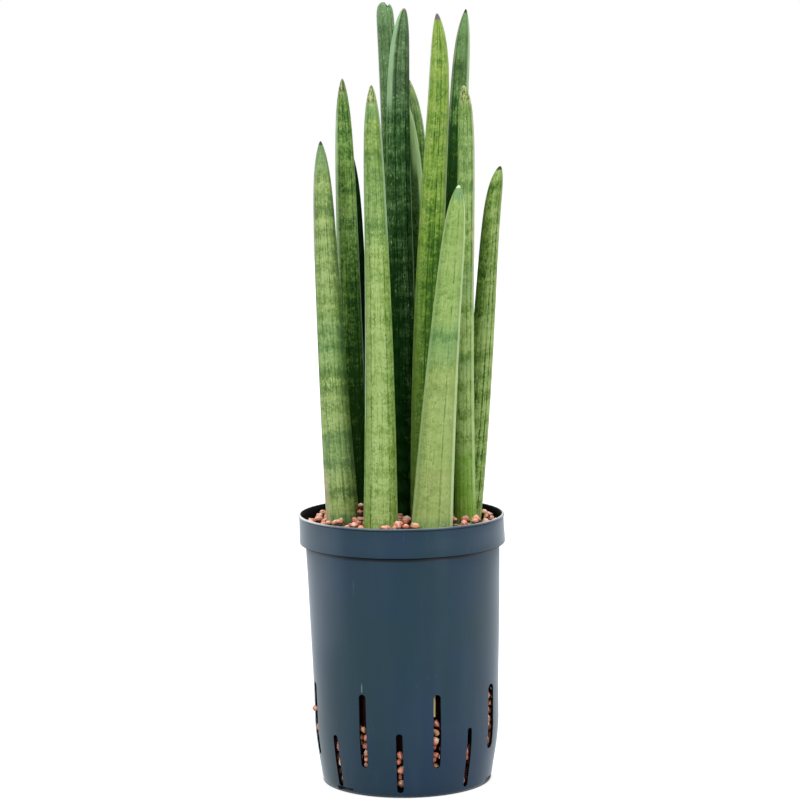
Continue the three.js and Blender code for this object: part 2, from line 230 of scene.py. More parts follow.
def finish_mesh(obj, merge=1e-6, sharp=35):
    """Merges doubles, turns faces outwards and smooths all but the sharp edges."""
    work = bmesh.new()
    work.from_mesh(obj.data)
    bmesh.ops.remove_doubles(work, verts=work.verts, dist=merge)
    bmesh.ops.recalc_face_normals(work, faces=work.faces)
    work.to_mesh(obj.data)
    work.free()
    obj.data.shade_smooth()
    obj.data.set_sharp_from_angle(angle=math.radians(sharp))
    return obj


def dress(obj, slot, *nodes):
    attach(obj, "root")
    if nodes:
        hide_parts(*nodes)
    return obj


# ---- Colours and materials ----


def colour(code):
    """Linear colour of a hexadecimal screen colour."""
    parts = [int(code[i : i + 2], 16) / 255 for i in (0, 2, 4)]
    return (*[p / 12.92 if p < 0.04045 else ((p + 0.055) / 1.055) ** 2.4 for p in parts], 1.0)


def new_material(name, roughness=0.5, specular=0.5):
    """A material's nodes and its shader, whose colour and normal are linked later."""
    material = bpy.data.materials.new(name)
    material.use_nodes = True
    nodes = Nodes(material.node_tree)
    shader = material.node_tree.nodes["Principled BSDF"]
    shader.inputs["Roughness"].default_value = roughness
    shader.inputs["Specular IOR Level"].default_value = specular
    return material, nodes, shader


def bump(nodes, shader, height, distance, strength=1.0):
    node = nodes.add("ShaderNodeBump")
    nodes.plug_all(node, {"Strength": strength, "Distance": distance, "Height": height})
    nodes.plug(node.outputs[0], shader.inputs["Normal"])


def object_place(nodes):
    return nodes.add("ShaderNodeTexCoord").outputs["Object"]


def in_metres(*lengths):
    return tuple(length * MM for length in lengths)


# ---- Leaves ----

# Same rule as the CAD leaves, in millimetres, and the same values but for the girth and sway of
# leaves 8 and 13 and the foot of leaf 13.
SURFACE = 188
LEAF_BOTTOM = 139
ROOT_END = 0.74
HOOK_POWER = 10
LEAF_AROUND = 112
LEAF_ALONG = 130
FURROWS = 14
SKIN_PLAY = 0.985
RING_POWER = 1.4  # how much closer together the rings lie towards the tip
CHANNEL_DEPTH = 0.16  # of the radius, at the foot
FURROW_DEPTH = 0.035  # of the radius
NICK_WIDTH = 1.1
NICK_REACH = 14  # how far below the tip the nick begins
MERGE = 0.02  # points of the bottom and the tip that lie closer than this become one
SEED_STEP = 1.7

PALE_LEAVES = (1, 7, 11)
BRIGHT_LEAVES = (2, 4, 8, 12)

LEAVES = [
    # foot, tip, sway, hook, girth, lean, point
    ((-41.5, -6), (-53, -9, 459.5), (-1, -2), 0, 24.4, 0.56, 16),
    ((-33, 19.5), (-37.5, 17, 503), (0.5, 0), 0.5, 22, 0.57, 18),
    ((-29, 42), (-34, 42, 455), (1, 0), -2, 19, 0.57, 15),
    ((-14.5, -33), (-16.5, -29, 498), (2, -3), 1, 25, 0.51, 16),
    ((3.5, 21), (7, 19, 552), (0, 0), 6.5, 23, 0.68, 17),
    ((-4, 50), (-7, 47, 557.5), (4, 0), 0, 21, 0.61, 3),
    ((21.5, -38), (43, -44, 428.5), (-1.5, 0), 0, 30, 0.48, 11.5),
    ((19.5, 2), (30, -2, 547.5), (-5.8, 0), -8, 25.7, 0.54, 16.5),
    ((23.5, 28), (8.5, 36, 485), (1, 2), -2.5, 18, 0.57, 15),
    ((17, 53), (10, 54, 502), (1, 0), -8, 17, 0.57, 15),
    ((46, -5), (48, -10, 497), (-2, -1), -4, 15.4, 0.75, 10.5),
    ((48, 21), (73.5, 2, 440), (2.5, 4), 6, 21.2, 0.54, 8.7),
    ((35, 44), (51.5, 40, 551.5), (-1.2, 0), 3, 21.9, 0.56, 14),
]

GREENS = {
    "apple": "afc87c",
    "fresh": "99b864",
    "lime": "9cb654",
    "sap": "83a24a",
    "leek": "6b9232",
    "moss": "60873a",
    "sage": "719a62",
    "fern": "4e722a",
    "spruce": "426537",
    "pine": "355a18",
    "deep": "1d420f",
    "ink": "0b2805",
    "bloom": "62936a",
    "band": "3f7040",
}


@dataclass
class Skin:
    """Looks of one leaf. Tones run from 0, its light green, over 0.5 to 1, its dark green."""

    greens: tuple
    tones: tuple  # height, tone
    bold: tuple  # cross-bands that stand out: height, strength
    faint: float = 0.2  # strength of the cross-bands between them
    bloom: tuple = ()  # bluish places: height, half height, strength
    ripe: tuple = ()  # yellowish places, given as for bloom
    ripe_colour: str = "c2ba80"
    # Pale stripes along an edge, pale margins in some places and painted highlights in others:
    # angle in degrees, half width in radians, strength, lowest and highest height, colour.
    edges: tuple = ()
    grain: float = 1.0  # how strong the mottling is
    gloss: float = 0.1
    lines: float = 0.9  # how strong the furrow lines are
    painted_shade_side: tuple = (0, 0.0, 600)  # painted shade on one side: angle, strength, highest height
    dry: tuple = ("4a4a34", 3)  # colour and length of the dry point
    scar: float = 0  # length of the scarred end below the point
    channel: float = 90  # angle of the channel; -90 is the front, 0 the right
    blunt: float = 2  # how round the point is, in millimetres
    nick: tuple = (0, 0)  # nick in the tip: place from the middle, depth


SKINS = [
    Skin(
        ("apple", "sap", "fern"),
        ((188, 0.18), (300, 0.26), (350, 0.2), (430, 0.28), (460, 0.75)),
        ((410, 0.5), (395, 0.35), (325, 0.3), (315, 0.3), (250, 0.4), (210, 0.4)),
        faint=0.3,
        bloom=((452, 14, 0.9), (240, 16, 0.35), (316, 18, 0.5), (189, 5, 0.7)),
        ripe=((240, 60, 0.16), (400, 70, 0.16)),
        ripe_colour="b4be9e",
        edges=(
            (196, 0.55, 0.6, 170, 225, "c4b496"),
            (184, 0.2, 0.6, 225, 380, "94967a"),
            (190, 0.4, 0.6, 380, 455, "a6aa9a"),
        ),
        painted_shade_side=(0, 0.3, 420),
        grain=1.15,
    ),
    Skin(
        ("fresh", "moss", "deep"),
        ((188, 0.85), (290, 0.54), (370, 0.24), (413, 0.1), (450, 0.18), (500, 0.44)),
        ((425, 0.3), (400, 0.3)),
        faint=0.15,
        edges=((-10, 0.22, 0.7, 188, 410, "86a08c"), (196, 0.5, 0.7, 340, 480, "b4d2a4")),
        painted_shade_side=(-45, 0.34, 385),
        dry=("8a8a70", 2),
        scar=14,
        blunt=3.5,
        grain=1.1,
    ),
    Skin(
        ("moss", "deep", "ink"),
        ((188, 0.8), (330, 0.76), (400, 0.68), (455, 0.35)),
        (),
        channel=-90,
        painted_shade_side=(-60, 0.45, 600),
        gloss=0.0,
    ),
    Skin(
        ("apple", "sap", "fern"),
        ((188, 0.15), (360, 0.11), (378, 0.17), (400, 0.42), (440, 0.42), (498, 0.36)),
        ((450, 0.3), (400, 0.25)),
        faint=0.14,
        bloom=((480, 6, 0.5), (420, 30, 0.35)),
        edges=(
            (-14, 0.36, 0.8, 392, 500, "a4c49c"),
            (190, 0.22, 0.7, 262, 480, "bcd0b2"),
            (214, 0.3, 0.4, 188, 390, "6a8c40"),
        ),
        painted_shade_side=(0, 0.22, 380),
        dry=("8a7a5a", 2),
        scar=16,
        blunt=3,
        lines=0.8,
    ),
    Skin(
        ("sage", "spruce", "ink"),
        ((188, 1.0), (265, 0.9), (295, 0.6), (400, 0.42), (495, 0.34), (552, 0.2)),
        ((475, 0.3), (345, 0.3)),
        faint=0.24,
        edges=(
            (206, 0.6, 0.8, 482, 560, "a8cc9c"),
            (186, 0.24, 0.4, 440, 490, "94b48c"),
            (-10, 0.2, 0.8, 340, 440, "8cb47c"),
            (-14, 0.5, 0.25, 500, 560, "7e8a78"),
        ),
        ripe=((525, 45, 0.2),),
        ripe_colour="8a9280",
        painted_shade_side=(210, 0.35, 385),
        gloss=0.0,
        dry=("b07060", 1.5),
        channel=200,
        blunt=6,
        grain=0.85,
        lines=0.6,
    ),
    Skin(
        ("sage", "fern", "deep"),
        ((188, 0.9), (440, 0.42), (500, 0.16), (557, 0.0)),
        (),
        faint=0.28,
        ripe=((525, 50, 0.14),),
        ripe_colour="a8bcac",
        edges=((5, 0.45, 0.7, 500, 560, "a6cc9c"), (190, 0.3, 0.5, 430, 560, "a09c90")),
        dry=("2a3a2a", 0.8),
        channel=-90,
        nick=(1.8, 3.2),
        grain=1.2,
    ),
    Skin(
        ("apple", "fresh", "moss"),
        ((188, 0.3), (345, 0.26), (380, 0.2), (408, 0.34), (428, 0.5)),
        ((325, 0.3), (305, 0.2)),
        faint=0.12,
        bloom=((424.5, 5.2, 1.6), (320, 14, 0.55), (190, 7, 0.6)),
        ripe=((212, 22, 0.3), (265, 40, 0.25)),
        edges=((-12, 0.34, 0.65, 188, 420, "d0e8ac"), (200, 0.25, 0.3, 188, 420, "a9c493")),
        painted_shade_side=(210, 0.2, 420),
        dry=("e6ecc4", 2),
        grain=0.75,
        lines=0.55,
    ),
    Skin(
        ("lime", "leek", "pine"),
        ((188, 0.42), (340, 0.28), (400, 0.26), (500, 0.1), (547, 0.1)),
        ((490, 0.25), (430, 0.25)),
        faint=0.17,
        edges=(
            (-12, 0.28, 0.6, 400, 530, "a6c47c"),
            (205, 0.5, 0.4, 188, 380, "92bc50"),
            (192, 0.3, 0.5, 478, 540, "c4cc9c"),
        ),
        painted_shade_side=(-45, 0.6, 395),
        dry=("77716c", 5),
        blunt=3,
        lines=0.6,
    ),
    Skin(
        ("sage", "fern", "deep"),
        ((188, 0.9), (350, 0.4), (430, 0.1), (450, 0.0)),
        (),
        faint=0.22,
        edges=((-30, 0.75, 1.0, 375, 490, "c8e4a8"), (-68, 0.7, 1.2, 438, 490, "c0e09c")),
        channel=-90,
    ),
    Skin(
        ("fresh", "moss", "deep"),
        ((188, 0.9), (400, 0.5), (450, 0.36), (480, 0.2), (502, 0.1)),
        (),
        edges=((-10, 0.4, 0.7, 430, 500, "b8d0a0"),),
        ripe=((490, 22, 0.16),),
        ripe_colour="c0c8b4",
        dry=("6a5a40", 2),
        scar=8,
        channel=-90,
    ),
    Skin(
        ("apple", "sap", "fern"),
        ((188, 0.04), (270, 0.0), (340, 0.1), (440, 0.16), (497, 0.42)),
        ((340, 0.4), (305, 0.4), (285, 0.3), (265, 0.4), (210, 0.35)),
        faint=0.26,
        bloom=((360, 14, 0.4), (300, 8, 0.3), (440, 40, 0.35)),
        ripe=((204, 34, 1.0),),
        ripe_colour="7cac34",
        edges=((-18, 0.46, 0.6, 205, 345, "bcd890"), (-16, 0.4, 0.8, 345, 480, "ccd0aa")),
        dry=("c9c0a0", 1.5),
        scar=15,
        blunt=3.5,
        grain=1.2,
        lines=0.8,
    ),
    Skin(
        ("apple", "sap", "pine"),
        ((188, 0.3), (240, 0.32), (330, 0.08), (410, 0.34), (440, 0.26)),
        ((355, 0.25), (345, 0.25), (305, 0.3), (275, 0.35), (255, 0.25)),
        faint=0.26,
        edges=((-12, 0.24, 0.4, 188, 440, "c0cc9c"),),
        painted_shade_side=(215, 0.12, 380),
        lines=0.7,
    ),
    Skin(
        ("sage", "moss", "deep"),
        ((188, 1.0), (420, 1.0), (445, 0.85), (466, 0.62), (486, 0.2), (551, 0.06)),
        ((530, 0.35), (510, 0.5), (485, 0.45)),
        faint=0.34,
        edges=((-14, 0.6, 0.9, 470, 560, "b4d09c"), (192, 0.4, 0.5, 475, 560, "a8a88e")),
        ripe=((525, 35, 0.1),),
        ripe_colour="a8b09a",
        dry=("2f3a28", 3),
        painted_shade_side=(200, 0.15, 600),
        channel=-90,
        blunt=1.5,
        grain=1.1,
    ),
]


def leaf_line(nodes, given, rise):
    """Middle of a leaf at a share of its height above the granules."""
    foot_x, foot_y, _ = nodes.split(given["Foot"])
    tip_x, tip_y, _ = nodes.split(given["Tip"])
    sway_x, sway_y, _ = nodes.split(given["Sway"])
    hook = given["Hook"]
    bow = 4 * rise * (1 - rise)
    x = foot_x + (tip_x - hook - foot_x) * rise + sway_x * bow + hook * rise**HOOK_POWER
    y = foot_y + (tip_y - foot_y) * rise + sway_y * bow
    return x, y


def leaf_radius(nodes, given, along, below, length, height):
    """Radius before the grooves: it tapers, rounds off to a point and is smaller in the fill."""
    body = given["Girth"] / 2 * (given["Lean"] + (1 - given["Lean"]) * nodes.clamp(below / length))
    rounded = nodes.math("SQRT", below * below + 2 * below * given["Blunt"]) * 0.97
    point = 1 - nodes.math("EXPONENT", 0 - rounded / given["Point"])
    sunk = nodes.clamp((SURFACE * MM - height) / ((SURFACE - LEAF_BOTTOM) * MM))
    closed = nodes.math("GREATER_THAN", along, 0.5 / LEAF_ALONG)
    return body * point * (1 - (1 - ROOT_END) * sunk) * closed


def leaf_grooves(nodes, given, turn, angle, height, rise):
    """Shares of the radius that the furrows, which fade in and out, and the channel take away."""
    strip = nodes.math("FLOOR", turn + 0.5)
    wander = nodes.noise(nodes.vector(strip * 7.3, height * 9.0, given["Seed"]), 1.0, 1.0)
    dip = nodes.math("COSINE", turn * TURN) * 0.5 + 0.5
    furrow = FURROW_DEPTH * dip**4 * nodes.step(wander, 0.25, 0.6)
    facing = nodes.math("MAXIMUM", nodes.math("COSINE", angle - given["Channel Angle"]), 0.0)
    channel = CHANNEL_DEPTH * (1 - rise) * facing**6
    return furrow, channel


def leaf_tree():
    """Leaf: level rings along a bent line, with furrows, a channel and a rounded point."""
    sizes = ("Hook", "Girth", "Lean", "Point", "Blunt", "Seed")
    grooves = ("Nick Place", "Nick Depth", "Channel Angle")
    nodes, given = new_tree(
        "leaf",
        "GeometryNodeTree",
        [(name, VECTOR, None) for name in ("Foot", "Tip", "Sway")]
        + [(name, REAL, None) for name in (*sizes, *grooves)]
        + [("Skin", MATERIAL, None)],
        [("Geometry", GEOMETRY)],
    )
    grid = nodes.add("GeometryNodeMeshGrid", 1.0, 1.0, LEAF_AROUND + 1, LEAF_ALONG + 1).outputs[0]
    u, v, _ = nodes.split(nodes.position())
    angle = u * TURN
    cosine, sine = nodes.math("COSINE", angle), nodes.math("SINE", angle)
    along = v + 0.5

    # The first ring is the middle of the bottom face.
    _, _, tip = nodes.split(given["Tip"])
    below = (tip - LEAF_BOTTOM * MM) * nodes.math("MAXIMUM", 1 - along, 0.0) ** RING_POWER
    height = tip - below
    length = tip - SURFACE * MM
    rise = nodes.clamp((height - SURFACE * MM) / length)
    x, y = leaf_line(nodes, given, rise)
    furrow, channel = leaf_grooves(nodes, given, u * FURROWS, angle, height, rise)
    reach = leaf_radius(nodes, given, along, below, length, height) * (1 - furrow - channel)

    out_x = reach * cosine
    beside_nick = (out_x - given["Nick Place"]) / (NICK_WIDTH * MM)
    nick = given["Nick Depth"] * nodes.math("EXPONENT", 0 - beside_nick * beside_nick)
    drop = nick * nodes.step(below, NICK_REACH * MM, 0.0)
    place = nodes.vector(x + out_x, y + reach * sine, height - drop)
    marked = nodes.note(grid, "leaf_place", nodes.vector(cosine, sine, height), "FLOAT_VECTOR")
    merged = nodes.add("GeometryNodeMergeByDistance", nodes.moved(marked, place), None, MERGE * MM)
    close_tree(nodes, merged.outputs[0], given["Skin"])
    return nodes.tree


PLACE_NAMES = ("Cosine", "Sine", "Height", "Angle", "Turn", "Strip Chance")


def over_skin(nodes, spot, around, along, detail=2.0, roughness=0.5):
    """Noise over a leaf's skin, with how fast it changes around the leaf and along it."""
    cosine, sine, height, seed = spot
    spread = nodes.vector(cosine * around, sine * around, height * along + seed)
    return nodes.noise(spread, 1.0, detail, roughness)


def leaf_place_group():
    """Where a point lies on its leaf: its strip between furrows, and how far from a furrow."""
    nodes, given = new_tree(
        "leaf_place",
        "ShaderNodeTree",
        [("Seed", REAL, 0.0)],
        [(name, REAL) for name in (*PLACE_NAMES, "Band Height")],
    )
    place = nodes.add("ShaderNodeAttribute", attribute_name="leaf_place").outputs["Vector"]
    cosine, sine, height = nodes.split(place)
    angle = nodes.math("ARCTAN2", sine, cosine)
    turn = angle / TURN * FURROWS
    chance = nodes.random(nodes.math("FLOOR", turn), given["Seed"], 3.0)
    # Cross-bands step a little from strip to strip, and their edges are ragged.
    spot = cosine, sine, height, given["Seed"]
    ragged = over_skin(nodes, spot, 7, 160, 3.0, 0.6)
    frayed = over_skin(nodes, spot, 22, 300, 2.0, 0.6)
    band_height = height + (chance - 0.5) * 0.004 + (ragged - 0.5) * 0.016 + (frayed - 0.5) * 0.005
    nodes.add("NodeGroupOutput", cosine, sine, height, angle, turn, chance, band_height)
    return nodes.tree


def furrow_lines(nodes, turn, height, seed):
    """Furrow lines, each in its own place and strength and broken up, and faint ones between."""
    number = nodes.math("FLOOR", turn + 0.5)
    aside = (nodes.random(number, seed, 9.0) - 0.5) * 0.36
    from_line = nodes.math("ABSOLUTE", nodes.math("FRACT", turn + 0.5) - 0.5 - aside) * 2
    weight = 0.2 + 0.8 * nodes.step(nodes.random(number, seed, 5.0), 0.2, 0.8)
    dash = nodes.noise(nodes.vector(number * 5.7, seed, height * 75), 1.0, 4.0, 0.7)
    line = nodes.step(from_line, 0.3, 0.05) * (0.35 + 0.65 * nodes.step(dash, 0.4, 0.56)) * weight
    half_way = nodes.math("ABSOLUTE", nodes.math("FRACT", turn) - 0.5 + aside) * 2
    thin_place = nodes.vector(nodes.math("FLOOR", turn) * 3.9, seed + 4, height * 90)
    thin_dash = nodes.noise(thin_place, 1.0, 3.0, 0.7)
    thin = nodes.step(half_way, 0.16, 0.03) * nodes.step(thin_dash, 0.5, 0.62)
    return line, thin


def leaf_skin_group():
    """Leaf's colour and relief: cross-bands, streaks, furrow lines, flecks, dry point and painted
    shade on one side.
    """
    marks = ("Tone", "Bands", "Bloom", "Ripe", "Grain", "Lines", "Seed")
    painted_shade_side = ("Flank Angle", "Flank Strength", "Flank Top")
    ends = ("Tip Height", "Dry Length", "Scar Length")
    nodes, given = new_tree(
        "leaf_skin",
        "ShaderNodeTree",
        [(name, RGB, None) for name in ("Light", "Middle", "Dark", "Dry", "Ripe Color")]
        + [(name, REAL, 0.0) for name in (*PLACE_NAMES, *marks, *painted_shade_side, *ends)],
        [("Color", RGB), ("Relief", REAL), ("Roughness", REAL)],
    )
    cosine, sine, height, angle, turn, chance = (given[name] for name in PLACE_NAMES)
    seed = given["Seed"]
    spot = cosine, sine, height, seed

    # Long streaks, worm-like mottling, fine grain, and strips that are each a little different.
    streak = over_skin(nodes, spot, 13, 36, 4.0, 0.65)
    mottle = over_skin(nodes, spot, 12, 520, 3.0, 0.7)
    across = over_skin(nodes, spot, 2.5, 420, 2.0, 0.6)
    cloud = over_skin(nodes, spot, 1.6, 34)
    patchy = over_skin(nodes, spot, 3, 60)
    varied = (streak - 0.5) * 1.5 + (mottle - 0.5) * 1.4 + (across - 0.5) * 1.2
    varied = varied * given["Grain"] + (cloud - 0.5) * 0.3 + (chance - 0.5) * 0.24
    # Painted shade on the side of the leaf that faces the given angle, up to a given height.
    facing = nodes.math("COSINE", angle - given["Flank Angle"])
    painted_shade_side = nodes.step(facing, 0.1, 1.0) * given["Flank Strength"]
    painted_shade_side = painted_shade_side * nodes.step(height - given["Flank Top"], 0.03, -0.03)
    tone = given["Tone"] + given["Bands"] * (0.45 + 1.3 * patchy) + varied + painted_shade_side
    line, thin = furrow_lines(nodes, turn, height, seed)
    tone = tone + (line + thin * 0.6) * given["Lines"]

    low = nodes.clamp(tone * 2)
    high = nodes.clamp(tone * 2 - 1)
    skin = nodes.mix(high, nodes.mix(low, given["Light"], given["Middle"]), given["Dark"])
    skin = nodes.layers(
        skin,
        (nodes.clamp(given["Bands"] * patchy * 0.9), GREENS["band"]),
        (nodes.clamp(given["Bloom"] * (0.55 + (streak - 0.5))), GREENS["bloom"]),
    )
    ripe = nodes.clamp(given["Ripe"] * (0.7 + (streak - 0.5) * 1.5))
    skin = nodes.mix(ripe, skin, given["Ripe Color"])

    # Pale flecks in patches, mostly where the skin is light.
    dots = nodes.noise(nodes.vector(cosine * 17 + 5, sine * 17, height * 620 + seed), 1.0, 1.0)
    fleck = nodes.step(dots, 0.6, 0.7) * nodes.step(over_skin(nodes, spot, 2, 45), 0.42, 0.6)

    # The dry point, and the scarred end that some leaves have below it.
    below = given["Tip Height"] - height
    ragged = nodes.noise(nodes.vector(cosine, sine, height * 300 + seed), 2.0, 2.0)
    ragged = (ragged - 0.5) * 0.6 + 1
    near = nodes.step(below / (given["Scar Length"] + 1e-5), 1.1, 0.5)
    spots = over_skin(nodes, spot, 5, 420)
    skin = nodes.layers(
        skin,
        (fleck * 0.8 * (1 - nodes.step(tone, 0.35, 0.8)), "cfe2b0"),
        (near * nodes.step(spots, 0.56, 0.62) * 0.8, "e2dcc4"),
        (near * nodes.step(spots, 0.45, 0.4) * 0.9, "5e3a2a"),
    )
    dry = nodes.step(below / given["Dry Length"] * ragged, 1.15, 0.7)
    skin = nodes.mix(dry, skin, given["Dry"])

    relief = (1 - line) * 0.6 + streak * 0.35 + mottle * 0.15 - thin * 0.2
    rough = nodes.clamp(0.42 + (streak - 0.5) * 0.3 + dry * 0.3)
    nodes.add("NodeGroupOutput", skin, relief, rough)
    return nodes.tree


def pale_edge_and_highlight_group():
    """Pale margin and painted highlight along a leaf, with a thin dark line beside it."""
    sizes = ("Angle", "Height", "Edge Angle", "Width", "Strength", "Low", "High", "Seed")
    nodes, given = new_tree(
        "pale_edge_and_highlight",
        "ShaderNodeTree",
        [(name, RGB, None) for name in ("Color", "Pale", "Dark")]
        + [(name, REAL, 0.0) for name in sizes],
        [("Color", RGB)],
    )
    turned = nodes.math("WRAP", given["Angle"] - given["Edge Angle"], math.pi, -math.pi)
    off = nodes.math("ABSOLUTE", turned)
    across = off / given["Width"]
    height = given["Height"]
    strength_share = nodes.noise(nodes.vector(off * 9, given["Seed"], height * 120), 1.0, 3.0, 0.6)
    strength = given["Strength"] * nodes.step(height - given["Low"], -0.01, 0.01) * (0.4 + strength_share)
    strength = strength * nodes.step(height - given["High"], 0.01, -0.01)
    beside = nodes.step(nodes.math("ABSOLUTE", across - 1.35), 0.35, 0.05) * strength
    skin = nodes.mix(beside * 0.4, given["Color"], given["Dark"])
    skin = nodes.mix(nodes.clamp(nodes.step(across, 1.15, 0.7) * strength), skin, given["Pale"])
    nodes.add("NodeGroupOutput", skin)
    return nodes.tree


NOTHING = ((0, 0), (600, 0))  # a value that is 0 at every height of a leaf
BAND_HALF = 4  # half the height of a cross-band, in millimetres
BAND_SPACING = 13  # from one faint cross-band to the next, in millimetres
CURVE_STOPS = 140
CURVE_MARGIN = 8  # how far below the surface of the granules a curve begins, in millimetres
BUMP_SPREAD = 1.3  # how far a soft bump reaches, in its own half heights


def cross_bands(look, number, top):
    """Cross-bands of a leaf: the bold ones, and faint ones that a seeded step sets apart."""
    draw = random.Random(number)
    bands = [(height, BAND_HALF, strength) for height, strength in look.bold]
    height = SURFACE + BAND_SPACING * draw.random()
    while height < top - BAND_SPACING:
        strength = look.faint * draw.uniform(0.6, 1.4)
        if all(abs(height - bold) > 2 * BAND_HALF for bold, _ in look.bold):
            bands.append((height, BAND_HALF, strength))
        height += BAND_SPACING * draw.uniform(0.75, 1.25)
    return bands


def value_along(z, base, bumps):
    """Value at a height: straight between the base points, with soft bumps added."""
    value = base[0][1]
    for (low, a), (high, b) in zip(base, base[1:]):
        if z >= low:
            value = a + (b - a) * min((z - low) / (high - low), 1)
    for middle, half, strength in bumps:
        value += strength * max(0.0, 1 - ((z - middle) / (half * BUMP_SPREAD)) ** 4) ** 2
    return min(max(value, 0.0), 1.0)


def along_leaf(nodes, height, top, base, bumps):
    """A value that changes with height, as a curve."""
    node = nodes.add("ShaderNodeFloatCurve")
    node.mapping.extend = "HORIZONTAL"
    curve = node.mapping.curves[0]
    first = SURFACE - CURVE_MARGIN
    span = top - first
    heights = [first + span * i / CURVE_STOPS for i in range(CURVE_STOPS + 1)]
    levels = [value_along(z, base, bumps) for z in heights]
    curve.points[0].location = (0.0, levels[0])
    curve.points[1].location = (1.0, levels[-1])
    for i in range(1, CURVE_STOPS):
        curve.points.new(i / CURVE_STOPS, levels[i])
    node.mapping.update()
    nodes.plug((height / MM - heights[0]) / (heights[-1] - heights[0]), node.inputs["Value"])
    return nodes.field(node.outputs[0])


def pale_edges_and_highlights(nodes, number, place, edge_highlight_group, look, painted):
    """Paints each pale margin and painted highlight along a leaf over the last one."""
    for degrees, width, strength, low, high, pale in look.edges:
        edge = nodes.add("ShaderNodeGroup", node_tree=edge_highlight_group)
        values = {
            "Color": painted,
            "Pale": colour(pale),
            "Dark": colour(GREENS[look.greens[2]]),
            "Angle": place.outputs["Angle"],
            "Height": place.outputs["Height"],
            "Edge Angle": math.radians(degrees),
            "Width": width,
            "Strength": strength,
            "Low": low * MM,
            "High": high * MM,
            "Seed": number + degrees,
        }
        nodes.plug_all(edge, values)
        painted = edge.outputs["Color"]
    return painted


def leaf_material(number, place_group, skin_group, edge_highlight_group, look, top):
    name = f"leaf_{number:02d}_skin"
    material, nodes, shader = new_material(name, roughness=0.45, specular=look.gloss)
    place = nodes.add("ShaderNodeGroup", node_tree=place_group)
    place.inputs["Seed"].default_value = number * SEED_STEP
    height = nodes.field(place.outputs["Height"])
    band_height = nodes.field(place.outputs["Band Height"])
    light, middle, dark = (colour(GREENS[green]) for green in look.greens)
    values = {name: place.outputs[name] for name in PLACE_NAMES}
    values |= {
        "Seed": number * SEED_STEP,
        "Tone": along_leaf(nodes, height, top, look.tones, ()),
        "Bands": along_leaf(nodes, band_height, top, NOTHING, cross_bands(look, number, top)),
        "Bloom": along_leaf(nodes, band_height, top, NOTHING, look.bloom),
        "Ripe": along_leaf(nodes, height, top, NOTHING, look.ripe),
        "Light": light,
        "Middle": middle,
        "Dark": dark,
        "Dry": colour(look.dry[0]),
        "Dry Length": look.dry[1] * MM,
        "Ripe Color": colour(look.ripe_colour),
        "Grain": look.grain,
        "Lines": look.lines,
        "Flank Angle": math.radians(look.painted_shade_side[0]),
        "Flank Strength": look.painted_shade_side[1],
        "Flank Top": look.painted_shade_side[2] * MM,
        "Scar Length": look.scar * MM,
        "Tip Height": top * MM,
    }
    skin = nodes.add("ShaderNodeGroup", node_tree=skin_group)
    nodes.plug_all(skin, values)
    painted = pale_edges_and_highlights(nodes, number, place, edge_highlight_group, look, skin.outputs["Color"])
    nodes.plug_all(shader, {"Base Color": painted, "Roughness": skin.outputs["Roughness"]})
    bump(nodes, shader, nodes.field(skin.outputs["Relief"]), 0.0005, 0.7)
    return material


def leaf_slot(number):
    if number in PALE_LEAVES:
        return "leaf_pale"
    return "leaf_bright" if number in BRIGHT_LEAVES else "leaf_dark"


def make_leaves():
    tree = leaf_tree()
    groups = leaf_place_group(), leaf_skin_group(), pale_edge_and_highlight_group()
    for number, (leaf, look) in enumerate(zip(LEAVES, SKINS), 1):
        foot, tip, sway, hook, girth, lean, point = leaf
        name = f"leaf_{number:02d}"
        values = {
            "Foot": in_metres(*foot, 0),
            "Tip": in_metres(*tip),
            "Sway": in_metres(*sway, 0),
            "Hook": hook * MM,
            "Girth": girth * SKIN_PLAY * MM,
            "Lean": lean,
            "Point": point * MM,
            "Blunt": look.blunt * MM,
            "Nick Place": look.nick[0] * MM,
            "Nick Depth": look.nick[1] * MM,
            "Channel Angle": math.radians(look.channel),
            "Seed": number * SEED_STEP,
            "Skin": leaf_material(number, *groups, look, tip[2]),
        }
        leaf_object = finish_mesh(run_tree(name + "_grown", tree, values), sharp=60)
        dress(leaf_object, leaf_slot(number), name)


# ---- Pot ----

LIP_TOP = 193.2
WALL = 1.6
FOOT_RADIUS = 60.9
KNEE = (50, 66.6)
SHOULDER = (168, 69.45)
LIP_ROLL = 1.05

# Rows of slots: the first one's angle from the front, bottom, top and width, and for each slot the
# height of the gap above the granules behind it.
SLOT_ROWS = (
    (-71.25, 21, 74, 5.5, (0, 23, 16, 9, 6, 14, 0, 20)),
    (-48.75, 3.5, 47, 4.8, (6, 12, 13, 0, 10, 0, 16, 5)),
)
# Slots that depart from their row, by row and place in it: angle, bottom, top and width.
ODD_SLOTS = {
    (0, 0): (-76.5, 21, 74, 7.0),
    (0, 1): (-27.6, 21, 74, 5.5),
    (0, 3): (64.0, 27, 74, 8.5),
    (1, 0): (-49.75, 3.5, 41.5, 4.8),
    (1, 1): (-4.6, 3.5, 47, 4.8),
    (1, 2): (41.8, 3.5, 47, 4.0),
    (1, 7): (271, 3.5, 47, 4.8),
}
CUTTER_SIDES = 24
CUTTER_MIDDLE = 67  # distance of the slots' cutters from the pot's axis
CUTTER_DEPTH = 26
NOTCH_COUNT = 3
NOTCH_FIRST = -46.5
NOTCH_WIDTH = 16
NOTCH_HEIGHT = 3.4
NOTCH_MIDDLE = 60.5
NOTCH_DEPTH = 14
POT_SIDES = 192
LIP_TILT = 0.006  # slope of the lip, down to the right
DENTS = 2.2  # most that the wall can differ between a dent and a bulge

# Soft plastic is never quite true: the pot's foot stands to the right of its lip by this much, and
# the wall comes back to the middle below the lip.
POT_LEAN = 1.9
LEAN_HEIGHT = 195
LEAN_POWER = 4


